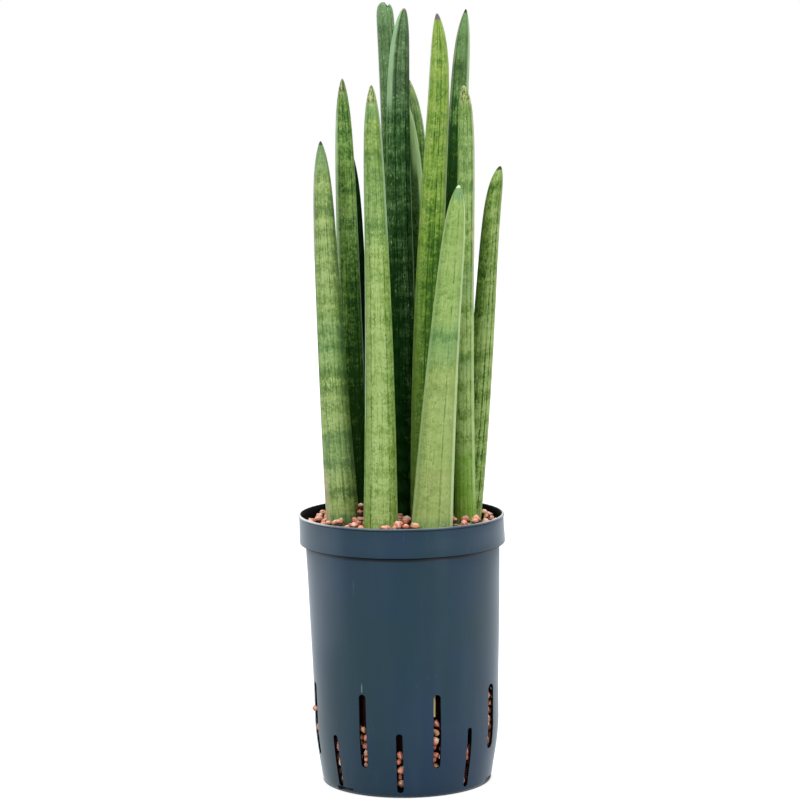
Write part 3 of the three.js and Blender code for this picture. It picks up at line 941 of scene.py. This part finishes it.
def all_slots():
    """Angle, bottom, top, width and gap of each slot."""
    slots = []
    for row, (first, bottom, top, width, gaps) in enumerate(SLOT_ROWS):
        for place, gap in enumerate(gaps):
            regular = first + 360 / len(gaps) * place, bottom, top, width
            slots.append((*ODD_SLOTS.get((row, place), regular), gap))
    return slots


def wall_radius(z):
    """Outer radius of the pot's wall below its collar."""
    if z < KNEE[0]:
        rise = math.sin(z / KNEE[0] * math.pi / 2) ** 1.2
        return FOOT_RADIUS + (KNEE[1] - FOOT_RADIUS) * rise
    rise = (z - KNEE[0]) / (SHOULDER[0] - KNEE[0])
    return KNEE[1] + (SHOULDER[1] - KNEE[1]) * rise**1.3


def arc(middle, radius, start, end, steps):
    """Points on an arc of the pot's profile, angles in degrees from outwards to up."""
    turns = [math.radians(start + (end - start) * i / steps) for i in range(steps + 1)]
    return [(middle[0] + radius * math.cos(a), middle[1] + radius * math.sin(a)) for a in turns]


def pot_profile():
    """Closed outline of the wall: up the outside from the floor, over the lip and down inside."""
    outside = [(0, 2.4), (25, 2.4), (49.4, 2.4), (50.4, 1.8), (51, 0), (58.4, 0)]
    outside += arc((58.6, 2.3), 2.3, -80, -15, 4)
    walls = [6, 10, 15, 20, *range(26, 45, 6), *range(52, 77, 8), *range(86, 157, 10), 164]
    outside += [(wall_radius(z), z) for z in walls]
    outside += [(69.4, 168.8), (69.1, 171.2), (69.6, 172), (72.8, 172), (73.5, 172.5), (73.7, 173.6)]
    outside += [(73.5, 179), (73.3, 185), (73.2, 190.2), (73.4, 191.2)]
    outside += arc((72.9, LIP_TOP - LIP_ROLL), LIP_ROLL, -30, 170, 8)
    inside = [(71.75, 190), (71.8, 185), (72.0, 179), (72.2, 174.4), (71.8, 173.4)]
    inside += [(68.8, 173), (68.0, 171)]
    inside += [(wall_radius(z) - WALL, z) for z in reversed(walls)]
    inside += [(59.2, 3.4), (57.8, 1.7), (52, 1.6), (50.6, 2.6), (49.8, 4), (25, 4), (0, 4)]
    return outside + inside


def lean_at(z):
    """How far to the right the pot's middle stands at a height."""
    return POT_LEAN * (1 - min(z / LEAN_HEIGHT, 1) ** LEAN_POWER)


def lathe(name, profile, sides):
    """Closed mesh turned about the Z axis from a profile that starts and ends on it."""
    work = bmesh.new()
    rings = []
    for r, z in profile:
        if r == 0:
            rings.append([work.verts.new((0, 0, z * MM))] * sides)
            continue
        turns = [TURN * i / sides for i in range(sides)]
        spots = [(r * MM * math.cos(a), r * MM * math.sin(a), z * MM) for a in turns]
        rings.append([work.verts.new(spot) for spot in spots])
    for low, high in zip(rings, rings[1:]):
        for i in range(sides):
            j = (i + 1) % sides
            corners = dict.fromkeys((low[i], low[j], high[j], high[i]))
            work.faces.new(list(corners))
    bmesh.ops.recalc_face_normals(work, faces=work.faces)
    mesh = bpy.data.meshes.new(name)
    work.to_mesh(mesh)
    work.free()
    return mesh


def slot_cutters(nodes, geometry):
    """One round-ended cutter for each vertex, whose x, y and z are a slot's turn, bottom and top."""
    spot = nodes.position()
    points = nodes.add("GeometryNodeMeshToPoints", geometry).outputs[0]
    row = nodes.note(points, "slot_row", spot, "FLOAT_VECTOR")
    rod = nodes.add("GeometryNodeMeshCylinder", fill_type="NGON")
    nodes.plug_all(rod, {"Vertices": CUTTER_SIDES, "Radius": 1.0, "Depth": 1.0})
    rods = nodes.add("GeometryNodeInstanceOnPoints", nodes.moved(row, nodes.vector()))
    nodes.plug(rod.outputs[0], rods.inputs["Instance"])
    real_rods = nodes.add("GeometryNodeRealizeInstances", rods.outputs[0]).outputs[0]
    turn, bottom, top = nodes.split(nodes.noted("slot_row", "FLOAT_VECTOR"))
    width = nodes.field(nodes.noted("slot_width"))
    x, y, z = nodes.split(spot)
    end = nodes.math("SIGN", nodes.math("SNAP", y, 0.01))
    side = x * width / 2
    out = z * (CUTTER_DEPTH * MM) + CUTTER_MIDDLE * MM
    up = y * width / 2 + end * (top - bottom - width) / 2 + (top + bottom) / 2
    cosine, sine = nodes.math("COSINE", turn), nodes.math("SINE", turn)
    place = nodes.vector(side * cosine + out * sine, side * sine - out * cosine, up)
    return nodes.moved(real_rods, place)


def notch_cutters(nodes):
    """Blocks round the foot, one for each drain notch."""
    size = nodes.vector(*in_metres(NOTCH_WIDTH, NOTCH_DEPTH, NOTCH_HEIGHT * 2))
    block = nodes.add("GeometryNodeTransform", nodes.add("GeometryNodeMeshCube", size).outputs[0])
    block.inputs["Translation"].default_value = in_metres(0, -NOTCH_MIDDLE, 0)
    places = nodes.add("GeometryNodePoints", NOTCH_COUNT).outputs[0]
    index = nodes.field(nodes.add("GeometryNodeInputIndex").outputs[0])
    turn = nodes.vector(0, 0, math.radians(NOTCH_FIRST) + index * (TURN / NOTCH_COUNT))
    turned = nodes.add("FunctionNodeEulerToRotation", turn).outputs[0]
    blocks = nodes.add("GeometryNodeInstanceOnPoints", places)
    nodes.plug_all(blocks, {"Instance": block.outputs[0], "Rotation": turned})
    return blocks.outputs[0]


def cutter_tree():
    """Cutters of the slots and of the foot's notches."""
    nodes, given = new_tree(
        "slot_cutters",
        "GeometryNodeTree",
        [("Geometry", GEOMETRY, None), ("Plastic", MATERIAL, None)],
        [("Geometry", GEOMETRY)],
    )
    joined = nodes.add("GeometryNodeJoinGeometry")
    for shape in (slot_cutters(nodes, given["Geometry"]), notch_cutters(nodes)):
        nodes.plug(shape, joined.inputs[0])
    close_tree(nodes, joined.outputs[0], given["Plastic"])
    return nodes.tree


def slotted_wall_tree():
    """Cuts the slots and the foot's notches, then lets the pot lean, tilt and dent a little."""
    nodes, given = new_tree(
        "slotted_wall",
        "GeometryNodeTree",
        [
            ("Geometry", GEOMETRY, None),
            ("Cutters", "NodeSocketObject", None),
            ("Plastic", MATERIAL, None),
            ("Painted Shade", MATERIAL, None),
        ],
        [("Geometry", GEOMETRY)],
    )
    cutters = nodes.add("GeometryNodeObjectInfo", given["Cutters"]).outputs["Geometry"]
    cut = nodes.add("GeometryNodeMeshBoolean", operation="DIFFERENCE", solver="EXACT")
    nodes.plug_all(cut, {"Mesh 1": given["Geometry"], "Mesh 2": cutters})

    x, y, z = nodes.split(nodes.position())
    reach = nodes.from_axis(x, y) + 1e-6
    dent = (nodes.noise(nodes.vector(x, y, z * 0.6), 16.0, 1.0) - 0.5) * (DENTS * MM)
    low = nodes.step(z, 0.004, 0.03) * nodes.step(z, 0.165, 0.1)
    lift = dent * low / reach
    lean = (1 - nodes.clamp(z / (LEAN_HEIGHT * MM)) ** LEAN_POWER) * (POT_LEAN * MM)
    tilt = x * LIP_TILT * nodes.step(z, 0.15, 0.19)
    warped = nodes.moved(cut.outputs[0], nodes.vector(x + lean + x * lift, y + y * lift, z - tilt))
    whole = nodes.add("GeometryNodeRealizeInstances", warped).outputs[0]
    coated = nodes.add("GeometryNodeSetMaterial", whole, None, given["Plastic"]).outputs[0]

    # The inside faces, the sides of the slots and the ledge under the collar get the near-black
    # material as painted shade.
    out_x, out_y, out_z = nodes.split(nodes.add("GeometryNodeInputNormal").outputs[0])
    outward = (out_x * x + out_y * y) / reach
    inner = nodes.math("LESS_THAN", outward, -0.5)
    in_wall = nodes.math("LESS_THAN", nodes.math("ABSOLUTE", z - 0.085), 0.082)
    slot_side = nodes.math("LESS_THAN", outward, 0.6) * in_wall
    ledge = nodes.math("LESS_THAN", out_z, -0.4) * nodes.math("GREATER_THAN", z, 0.165)
    shade_mask = nodes.math("MAXIMUM", nodes.math("MAXIMUM", inner, slot_side), ledge)
    shade_painted = nodes.add("GeometryNodeSetMaterial", coated, shade_mask.socket, given["Painted Shade"]).outputs[0]
    nodes.add("NodeGroupOutput", shade_painted)
    return nodes.tree


def plastic_marks_and_collar_shade(nodes, x, y, z, drawn):
    """Marks of use, a pale scratch over a slot in front and short ones, and painted shade under the
    collar.
    """
    scratch_x, scratch_low, scratch_high = -0.0293, 0.075, 0.083
    beside = nodes.math("ABSOLUTE", x - scratch_x)
    scratch = nodes.step(beside, 0.0006, 0.0002) * nodes.math("LESS_THAN", y, 0.0)
    scratch = scratch * nodes.step(z, scratch_low, scratch_low + 0.001)
    scratch = scratch * nodes.step(z, scratch_high, scratch_high - 0.004)
    scuff = nodes.step(nodes.noise(nodes.vector(x * 400, y * 400, z * 60), 1.0, 2.0), 0.72, 0.78)
    # Painted shade in a thin band under the collar.
    corner = nodes.step(nodes.math("ABSOLUTE", z - 0.1708 - (drawn - 0.5) * 0.001), 0.0018, 0.0006)
    return nodes.clamp(scuff * 0.12 + scratch * 0.6), corner * 0.7


def plastic_painted_highlights(nodes, x, y, z, drawn, cloud):
    """A painted highlight high on the left of the wall, and a painted highlight along the lip,
    strongest at the sides.
    """
    painted_highlight_patch = nodes.step(x, -0.036, -0.056) * nodes.step(z, 0.085, 0.12) * nodes.step(y, 0.02, -0.01)
    crest = z + (drawn - 0.5) * 0.0006
    painted_lip_highlight = nodes.step(crest, (LIP_TOP - 0.8) * MM, (LIP_TOP - 0.3) * MM)
    strength_share = 0.14 + nodes.step(x, -0.045, -0.066) * 0.76 + nodes.step(x, 0.04, 0.066) * 0.42
    return painted_highlight_patch * (0.5 + cloud) * 0.16, painted_lip_highlight * strength_share


def pot_material():
    material, nodes, shader = new_material("slate_blue_plastic", roughness=0.38)
    # Fine dust shows where the wall turns away.
    sheen = {"Sheen Weight": 0.9, "Sheen Roughness": 0.4, "Sheen Tint": (0.88, 0.96, 1, 1)}
    nodes.plug_all(shader, sheen)
    place = object_place(nodes)
    x, y, z = nodes.split(place)
    cloud = nodes.noise(place, 12.0, 4.0, 0.6)
    grain = nodes.noise(place, 900.0, 2.0)
    drawn = nodes.noise(nodes.vector(x * 60, y * 60, z * 9), 1.0, 3.0)
    specks = nodes.add("ShaderNodeTexVoronoi", voronoi_dimensions="3D", feature="F1")
    nodes.plug_all(specks, {"Scale": 90.0, "Vector": place})
    some = nodes.step(nodes.random_of(specks.outputs["Color"]), 0.93, 0.95)
    dust = nodes.step(specks.outputs["Distance"], 0.06, 0.03) * some
    marks, corner = plastic_marks_and_collar_shade(nodes, x, y, z, drawn)
    painted_highlight_patch, painted_lip_highlight = plastic_painted_highlights(nodes, x, y, z, drawn, cloud)
    base = nodes.layers(
        nodes.mix(nodes.step(cloud, 0.35, 0.65), colour("163b48"), colour("1b3a55")),
        ((drawn - 0.5) * 0.5, "46626e"),
        (dust * 0.4, "9aa6ac"),
        (marks, "8c9aa2"),
        # painted shade under the collar
        (corner, "070d12"),
        # painted highlight patch high on the left of the wall
        (painted_highlight_patch, "7c8c90"),
        # painted highlight along the lip
        (painted_lip_highlight, "d2d6d6"),
    )
    rough = nodes.clamp(0.38 + (cloud - 0.5) * 0.2 + (grain - 0.5) * 0.1)
    nodes.plug_all(shader, {"Base Color": base, "Roughness": rough})
    bump(nodes, shader, grain * 0.4 + drawn, 0.00012, 0.5)
    return material


def painted_shade_material():
    # Near-black material that stands in for the shade inside the pot, in the slots and under the
    # collar.
    material, nodes, shader = new_material("painted_shade_black", roughness=0.7, specular=0.12)
    place = object_place(nodes)
    x, y, z = nodes.split(place)
    drawn = nodes.noise(nodes.vector(x * 60, y * 60, z * 9), 1.0, 3.0)
    nodes.plug(nodes.mix(drawn, colour("050506"), colour("0d0c0d")), shader.inputs["Base Color"])
    bump(nodes, shader, drawn, 0.0002, 0.5)
    return material


def make_pot():
    plastic = pot_material()
    slots = all_slots()
    rows = bpy.data.meshes.new("slot_rows")
    rows.from_pydata([(math.radians(a), low * MM, high * MM) for a, low, high, _, _ in slots], [], [])
    widths = rows.attributes.new("slot_width", "FLOAT", "POINT")
    widths.data.foreach_set("value", [width * MM for _, _, _, width, _ in slots])
    cutters = run_tree("slot_cutters", cutter_tree(), {"Plastic": plastic}, rows)
    values = {"Cutters": cutters, "Plastic": plastic, "Painted Shade": painted_shade_material()}
    blank = lathe("pot_blank", pot_profile(), POT_SIDES)
    pot = run_tree("culture_pot", slotted_wall_tree(), values, blank)
    bpy.data.objects.remove(cutters)
    finish_mesh(pot, sharp=32)
    dress(pot, "pot_plastic", "pot")


# ---- Clay granules ----

BED_TOP = 178
BED_INSET = 4.5
STONE_SIZE = 8.5
STONE_DENTS = 4.2
STONE_SEED = 5
TOP_REACH = 67.2  # of the loose stones on top, from the pot's axis
TOP_RISE = 3.5  # how much higher they lie at the back
RISE_START = -20  # where they begin to lie higher, from front to back
RISE_LENGTH = 80
TOP_SIZE = 0.7  # smallest of them, as a share of a full stone
HEAP_SIZE = 0.6  # smallest in the heap
TOP_SPREAD = 0.32  # how much larger than the smallest they can be
LEAF_ROOM = 2.6  # from a leaf's skin to the middle of a loose stone
SLOT_STONE = 7.0  # height that a full stone takes up behind a slot
SLOT_SIZE = 0.58  # smallest stone behind a slot
SLOT_SPREAD = 0.24
SLOT_INSET = 3.0  # from the wall to the middle of a full stone
SLOT_ASIDE = 0.1  # angle from the middle column of stones to the ones beside it
LOWEST_STONE = 8
PLACES_SEED = 11

# Layers of loose stones on top: height, how far it varies, smallest distance and number of tries.
# The third one is heaped up in front of the leaves.
TOP_LAYERS = ((179.5, 1.5, 6.8, 5000), (185, 2.4, 6.8, 9000), (190.2, 3, 6.0, 6000))
HEAP_BOTTOM = 190
HEAP_REACH = 62  # from the pot's axis
HEAP_BACK = -24
HEAP_SIDE = 56
HEAP_GAPS = ((-27, -12), (12, 35))  # clear places before leaves 4 and 7, from left to right


def granule_tree():
    """Stones: one at every vertex, each turned, sized and dented in its own way."""
    nodes, given = new_tree(
        "granules",
        "GeometryNodeTree",
        [("Geometry", GEOMETRY, None), ("Clay", MATERIAL, None)],
        [("Geometry", GEOMETRY)],
    )

    def chance(low, high, offset, kind="FLOAT_VECTOR"):
        node = nodes.add("FunctionNodeRandomValue", data_type=kind)
        names = [s for s in node.inputs if s.enabled and s.name in ("Min", "Max")]
        for socket, value in zip(names, (low, high)):
            socket.default_value = value
        node.inputs["Seed"].default_value = STONE_SEED + offset
        return next(s for s in node.outputs if s.enabled)

    points = nodes.add("GeometryNodeMeshToPoints", given["Geometry"]).outputs[0]
    toned = nodes.note(points, "stone_tone", chance(0.0, 1.0, 1, "FLOAT"))
    stone = nodes.add("GeometryNodeMeshUVSphere", 8, 5, 0.5).outputs[0]
    shape = chance((0.75, 0.7, 0.6), (1.3, 1.1, 1.0), 3)
    size = nodes.add("ShaderNodeVectorMath", shape, operation="SCALE")
    own = nodes.field(nodes.noted("stone_size"))
    nodes.plug(STONE_SIZE * MM * own, size.inputs["Scale"])
    copies = nodes.add("GeometryNodeInstanceOnPoints", toned)
    turn = chance((0, 0, 0), (TURN, TURN, TURN), 2)
    nodes.plug_all(copies, {"Instance": stone, "Rotation": turn, "Scale": size.outputs[0]})
    real_stones = nodes.add("GeometryNodeRealizeInstances", copies.outputs[0]).outputs[0]
    normal = nodes.add("GeometryNodeInputNormal").outputs[0]
    push = nodes.add("ShaderNodeVectorMath", normal, operation="SCALE")
    dent = (nodes.noise(nodes.position(), 230.0, 1.0) - 0.5) * (STONE_DENTS * MM)
    nodes.plug(dent, push.inputs["Scale"])
    dented = nodes.add("GeometryNodeSetPosition", real_stones, None, None, push.outputs[0]).outputs[0]
    close_tree(nodes, dented, given["Clay"])
    return nodes.tree


def clay_material():
    material, nodes, shader = new_material("fired_clay", roughness=0.9, specular=0.25)
    place = object_place(nodes)
    tone = nodes.field(nodes.add("ShaderNodeAttribute", attribute_name="stone_tone").outputs["Fac"])
    patch = nodes.noise(place, 160.0, 3.0, 0.65)
    grit = nodes.noise(place, 900.0, 2.0, 0.7)

    # Painted highlight on the side that faces up on top and out behind a slot; painted shade on the
    # other sides and low down.
    x, y, z = nodes.split(place)
    out_x, out_y, out_z = nodes.split(nodes.add("ShaderNodeNewGeometry").outputs["Normal"])
    to_wall = (out_x * x + out_y * y) / (nodes.from_axis(x, y) + 1e-6)
    on_top = nodes.step(z, 0.165, 0.172)
    facing_light = out_z * on_top + to_wall * (1 - on_top) + (patch - 0.5) * 0.6
    # Stones low in the top layer get painted shade.
    deep = on_top * nodes.step(z, 0.186, 0.179) * 0.8
    painted_stone_shade = nodes.math("MAXIMUM", nodes.step(facing_light, 0.5, 0.0) * 0.92, deep)

    # Rosy stones for the most part, some tan, and a few deep red ones.
    base = nodes.layers(
        nodes.mix(nodes.step(tone, 0.1, 0.6), colour("d6704e"), colour("f09c7c")),
        (nodes.step(tone, 0.74, 0.78) * 0.9, "cf9664"),
        (nodes.step(tone, 0.88, 0.9) * 0.85, "b4442f"),
        (nodes.step(patch, 0.54, 0.68) * 0.7, "fbdec2"),
        (nodes.step(patch, 0.46, 0.33) * 0.7, "6a2418"),
        # painted shade
        (painted_stone_shade, "260804"),
        # painted highlight
        (nodes.step(facing_light, 0.6, 1.0) * (0.1 + 0.55 * on_top), "ffe6dc"),
        (nodes.clamp((grit - 0.5) * 0.8), "fff0e6"),
    )
    nodes.plug(base, shader.inputs["Base Color"])
    bump(nodes, shader, patch + grit * 0.5, 0.0009, 1.0)
    return material


def leaf_at(number, z):
    """Middle and radius of a leaf at a height, in millimetres."""
    foot, tip, sway, hook, girth, _, _ = LEAVES[number - 1]
    rise = min(max((z - SURFACE) / (tip[2] - SURFACE), 0), 1)
    bow = 4 * rise * (1 - rise)
    x = foot[0] + (tip[0] - hook - foot[0]) * rise + sway[0] * bow + hook * rise**HOOK_POWER
    y = foot[1] + (tip[1] - foot[1]) * rise + sway[1] * bow
    return x, y, girth / 2


def stone_at(angle, r, z, size):
    """Place and size of a stone at an angle and distance from the axis of the leaning pot."""
    return r * math.cos(angle) + lean_at(z), r * math.sin(angle), z, size


def in_heap(r, x, y):
    """Whether a place is in the heap at the front, which keeps clear of two leaves."""
    before_a_leaf = any(left < x < right for left, right in HEAP_GAPS)
    return r <= HEAP_REACH and y <= HEAP_BACK and abs(x) <= HEAP_SIDE and not before_a_leaf


def top_stones(draw):
    """Loose stones over the top of the fill, higher at the back."""
    places = []

    def free(x, y, z, gap):
        return all(math.dist((x, y, z), p[:3]) > gap for p in places)

    def clear_of_leaves(x, y, z):
        spots = (leaf_at(n, z) for n in range(1, len(LEAVES) + 1))
        return all(math.hypot(x - u, y - v) > r + LEAF_ROOM for u, v, r in spots)

    for middle, spread, gap, tries in TOP_LAYERS:
        heaped = middle > HEAP_BOTTOM
        smallest = HEAP_SIZE if heaped else TOP_SIZE
        for _ in range(tries):
            r, a = TOP_REACH * math.sqrt(draw.random()), TURN * draw.random()
            x, y = r * math.cos(a), r * math.sin(a)
            if heaped and not in_heap(r, x, y):
                continue
            risen = min(max((y - RISE_START) / RISE_LENGTH, 0), 1)
            z = middle + spread * (draw.random() - 0.5) + TOP_RISE * risen
            if clear_of_leaves(x, y, z) and free(x, y, z, gap):
                places.append((x, y, z, smallest + TOP_SPREAD * draw.random()))
    return [(x + lean_at(z), y, z, size) for x, y, z, size in places]


def slot_stones(draw):
    """Three columns of stones against the wall behind each slot."""
    places = []
    for degrees, bottom, top, _, gap in all_slots():
        middle = math.radians(degrees - 90)
        for aside in (0, SLOT_ASIDE, -SLOT_ASIDE):
            z = bottom - 1 + 3 * draw.random()
            while z < top - gap:
                size = SLOT_SIZE + SLOT_SPREAD * draw.random()
                a = middle + aside + (draw.random() - 0.5) * 0.04
                r = wall_radius(z) - WALL - SLOT_INSET * size - 0.8 * draw.random()
                if z > LOWEST_STONE:
                    places.append(stone_at(a, r, z, size))
                z += SLOT_STONE * size + 1.4 * draw.random()
    return places


def stray_stones():
    """Three stones caught between leaves 1 and 4, and two that have worked out into a slot."""
    left, right = leaf_at(1, 198), leaf_at(4, 198)
    caught = (left[0] + left[2] + right[0] - right[2]) / 2
    places = [(caught, -13, 200, 0.62), (caught - 0.4, -12, 195.5, 0.6), (caught, -14, 190.5, 0.7)]
    angle = math.radians(all_slots()[0][0] - 90)
    for z, out in ((54.6, -0.6), (41, -2.4)):
        places.append(stone_at(angle, wall_radius(z) + out, z, SLOT_SIZE))
    return places


def make_stones():
    """Where the loose stones lie: on top of the fill, behind the slots, and a few strays."""
    draw = random.Random(PLACES_SEED)
    places = top_stones(draw) + slot_stones(draw) + stray_stones()
    mesh = bpy.data.meshes.new("stone_places")
    mesh.from_pydata([in_metres(*place[:3]) for place in places], [], [])
    sizes = mesh.attributes.new("stone_size", "FLOAT", "POINT")
    sizes.data.foreach_set("value", [place[3] for place in places])
    stones = run_tree("loose_granules", granule_tree(), {"Clay": clay_material()}, mesh)
    finish_mesh(stones, merge=1e-7, sharp=80)
    dress(stones, "clay", "clay_granules")


def shade_material():
    material, nodes, shader = new_material("clay_in_shade", roughness=0.95, specular=0.1)
    place = object_place(nodes)
    base = nodes.mix(nodes.noise(place, 140.0, 3.0), colour("0c0505"), colour("42201a"))
    nodes.plug(base, shader.inputs["Base Color"])
    bump(nodes, shader, nodes.noise(place, 130.0, 2.0), 0.003)
    return material


def make_bed():
    """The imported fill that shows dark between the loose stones."""
    profile = [(0, 4.5), (44, 4.5), (48, 7)]
    profile += [(wall_radius(z) - WALL - BED_INSET, z) for z in (12, 20, 32, 44, 80, 120, 150, 166)]
    profile += [(60, BED_TOP - 4), (56, BED_TOP - 1), (30, BED_TOP), (0, BED_TOP)]
    bed = link(bpy.data.objects.new("packed_granules", lathe("packed_granules", profile, 64)))
    for corner in bed.data.vertices:
        corner.co.x += lean_at(corner.co.z / MM) * MM
    bed.data.materials.append(shade_material())
    finish_mesh(bed)
    dress(bed, "clay")


# ---- Rhizomes ----


def rhizome_material():
    material, nodes, shader = new_material("rhizome_skin", roughness=0.6, specular=0.3)
    mottle = nodes.noise(object_place(nodes), 90.0, 4.0, 0.6)
    nodes.plug(nodes.mix(mottle, colour("c9a66a"), colour("e6dca0")), shader.inputs["Base Color"])
    bump(nodes, shader, mottle, 0.0005)
    return material


def dress_rhizomes():
    material = rhizome_material()
    for number in range(1, 5):
        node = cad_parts[f"rhizome_{number}"]
        node.data.materials.clear()
        node.data.materials.append(material)


# ---- Studio ----

FRONT_SKY = 0.3
BACK_SKY = 1.6
WHITE = (1, 1, 1, 1)
FLOOR_RADIUS = 6.0
FLOOR_DROP = 0.0002  # keeps the floor just clear of the pot's foot
LIGHT_AIM = Vector((0, 0, 0.28))

# The floor's glow begins at the edge of the foot and is a little weaker close to it, as a painted
# contact shadow.
GLOW_START = 0.0601
GLOW_FULL = 0.0612
GLOW_NEAR = 0.74
GLOW_FAR = 0.16  # added to it further out

SENSOR = 36
LENS = 120.63
CAMERA_SPOT = (0, -1.9008, 0.4938)
CAMERA_PITCH = 6.58  # downwards, in degrees
CAMERA_YAW = 0.011
CAMERA_ROLL = -0.79


def floor_material():
    """A white sheet that is lit from below to the eye, but not under the pot's foot."""
    material, nodes, shader = new_material("white_floor", roughness=0.9, specular=0.1)
    nodes.plug_all(shader, {"Base Color": (0.28, 0.29, 0.31, 1), "Emission Color": WHITE})
    x, y, _ = nodes.split(object_place(nodes))
    off = nodes.from_axis(x - POT_LEAN * MM, y)
    # The weaker glow close to the foot is a painted soft contact shadow.
    strength = GLOW_NEAR + nodes.step(off, 0.061, 0.068) * GLOW_FAR
    glow = nodes.step(off, GLOW_START, GLOW_FULL) * strength
    seen = nodes.field(nodes.add("ShaderNodeLightPath").outputs["Is Camera Ray"])
    nodes.plug(glow * seen, shader.inputs["Emission Strength"])
    return material


def make_floor():
    mesh = bpy.data.meshes.new("floor")
    work = bmesh.new()
    bmesh.ops.create_circle(work, cap_ends=True, segments=96, radius=FLOOR_RADIUS)
    work.to_mesh(mesh)
    work.free()
    mesh.materials.append(floor_material())
    floor = link(bpy.data.objects.new("floor", mesh))
    floor.location.z = -FLOOR_DROP


def make_world():
    """White all round to the eye; it lights the sides and back more than the front."""
    world = bpy.data.worlds.new("studio")
    bpy.context.scene.world = world
    world.use_nodes = True
    nodes = Nodes(world.node_tree)
    around = world.node_tree.nodes["Background"]
    _, depth, _ = nodes.split(nodes.add("ShaderNodeTexCoord").outputs["Generated"])
    strength = FRONT_SKY + (BACK_SKY - FRONT_SKY) * nodes.step(depth, -0.5, 0.4)
    nodes.plug_all(around, {"Strength": strength, "Color": WHITE})
    plain = nodes.add("ShaderNodeBackground", WHITE, 1.0)
    seen = nodes.add("ShaderNodeLightPath").outputs["Is Camera Ray"]
    both = nodes.add("ShaderNodeMixShader", seen, around.outputs[0], plain.outputs[0])
    nodes.plug(both.outputs[0], world.node_tree.nodes["World Output"].inputs["Surface"])


def make_light(name, spot, size, power):
    data = bpy.data.lights.new(name, "AREA")
    data.shape = "DISK"
    data.size = size
    data.energy = power
    light = link(bpy.data.objects.new(name, data))
    light.location = spot
    light.rotation_euler = (LIGHT_AIM - Vector(spot)).to_track_quat("-Z", "Y").to_euler()


def make_studio():
    make_floor()
    make_world()
    make_light("key", (-1.2, -1.8, 1.4), 0.9, 25)
    make_light("fill", (1.4, -1.5, 1.0), 0.9, 16)
    make_light("top", (0.1, 0.0, 2.4), 1.4, 12)


def make_camera():
    data = bpy.data.cameras.new("camera")
    data.sensor_width = SENSOR
    data.lens = LENS
    data.clip_end = 50
    pitch, yaw, roll = (math.radians(a) for a in (CAMERA_PITCH, CAMERA_YAW, CAMERA_ROLL))
    flat = math.cos(pitch)
    ahead = Vector((math.sin(yaw) * flat, math.cos(yaw) * flat, -math.sin(pitch)))
    level = Vector((math.cos(yaw), -math.sin(yaw), 0))
    upward = level.cross(ahead)
    right = level * math.cos(roll) + upward * math.sin(roll)
    up = upward * math.cos(roll) - level * math.sin(roll)
    turned = Matrix((right, up, -ahead)).transposed().to_4x4()
    camera = link(bpy.data.objects.new("camera", data))
    camera.matrix_world = Matrix.Translation(CAMERA_SPOT) @ turned
    bpy.context.scene.camera = camera


make_camera()
make_studio()
make_pot()
make_stones()
make_bed()
make_leaves()
dress_rhizomes()
bpy.context.scene.view_settings.view_transform = "Standard"

bpy.context.view_layer.update()
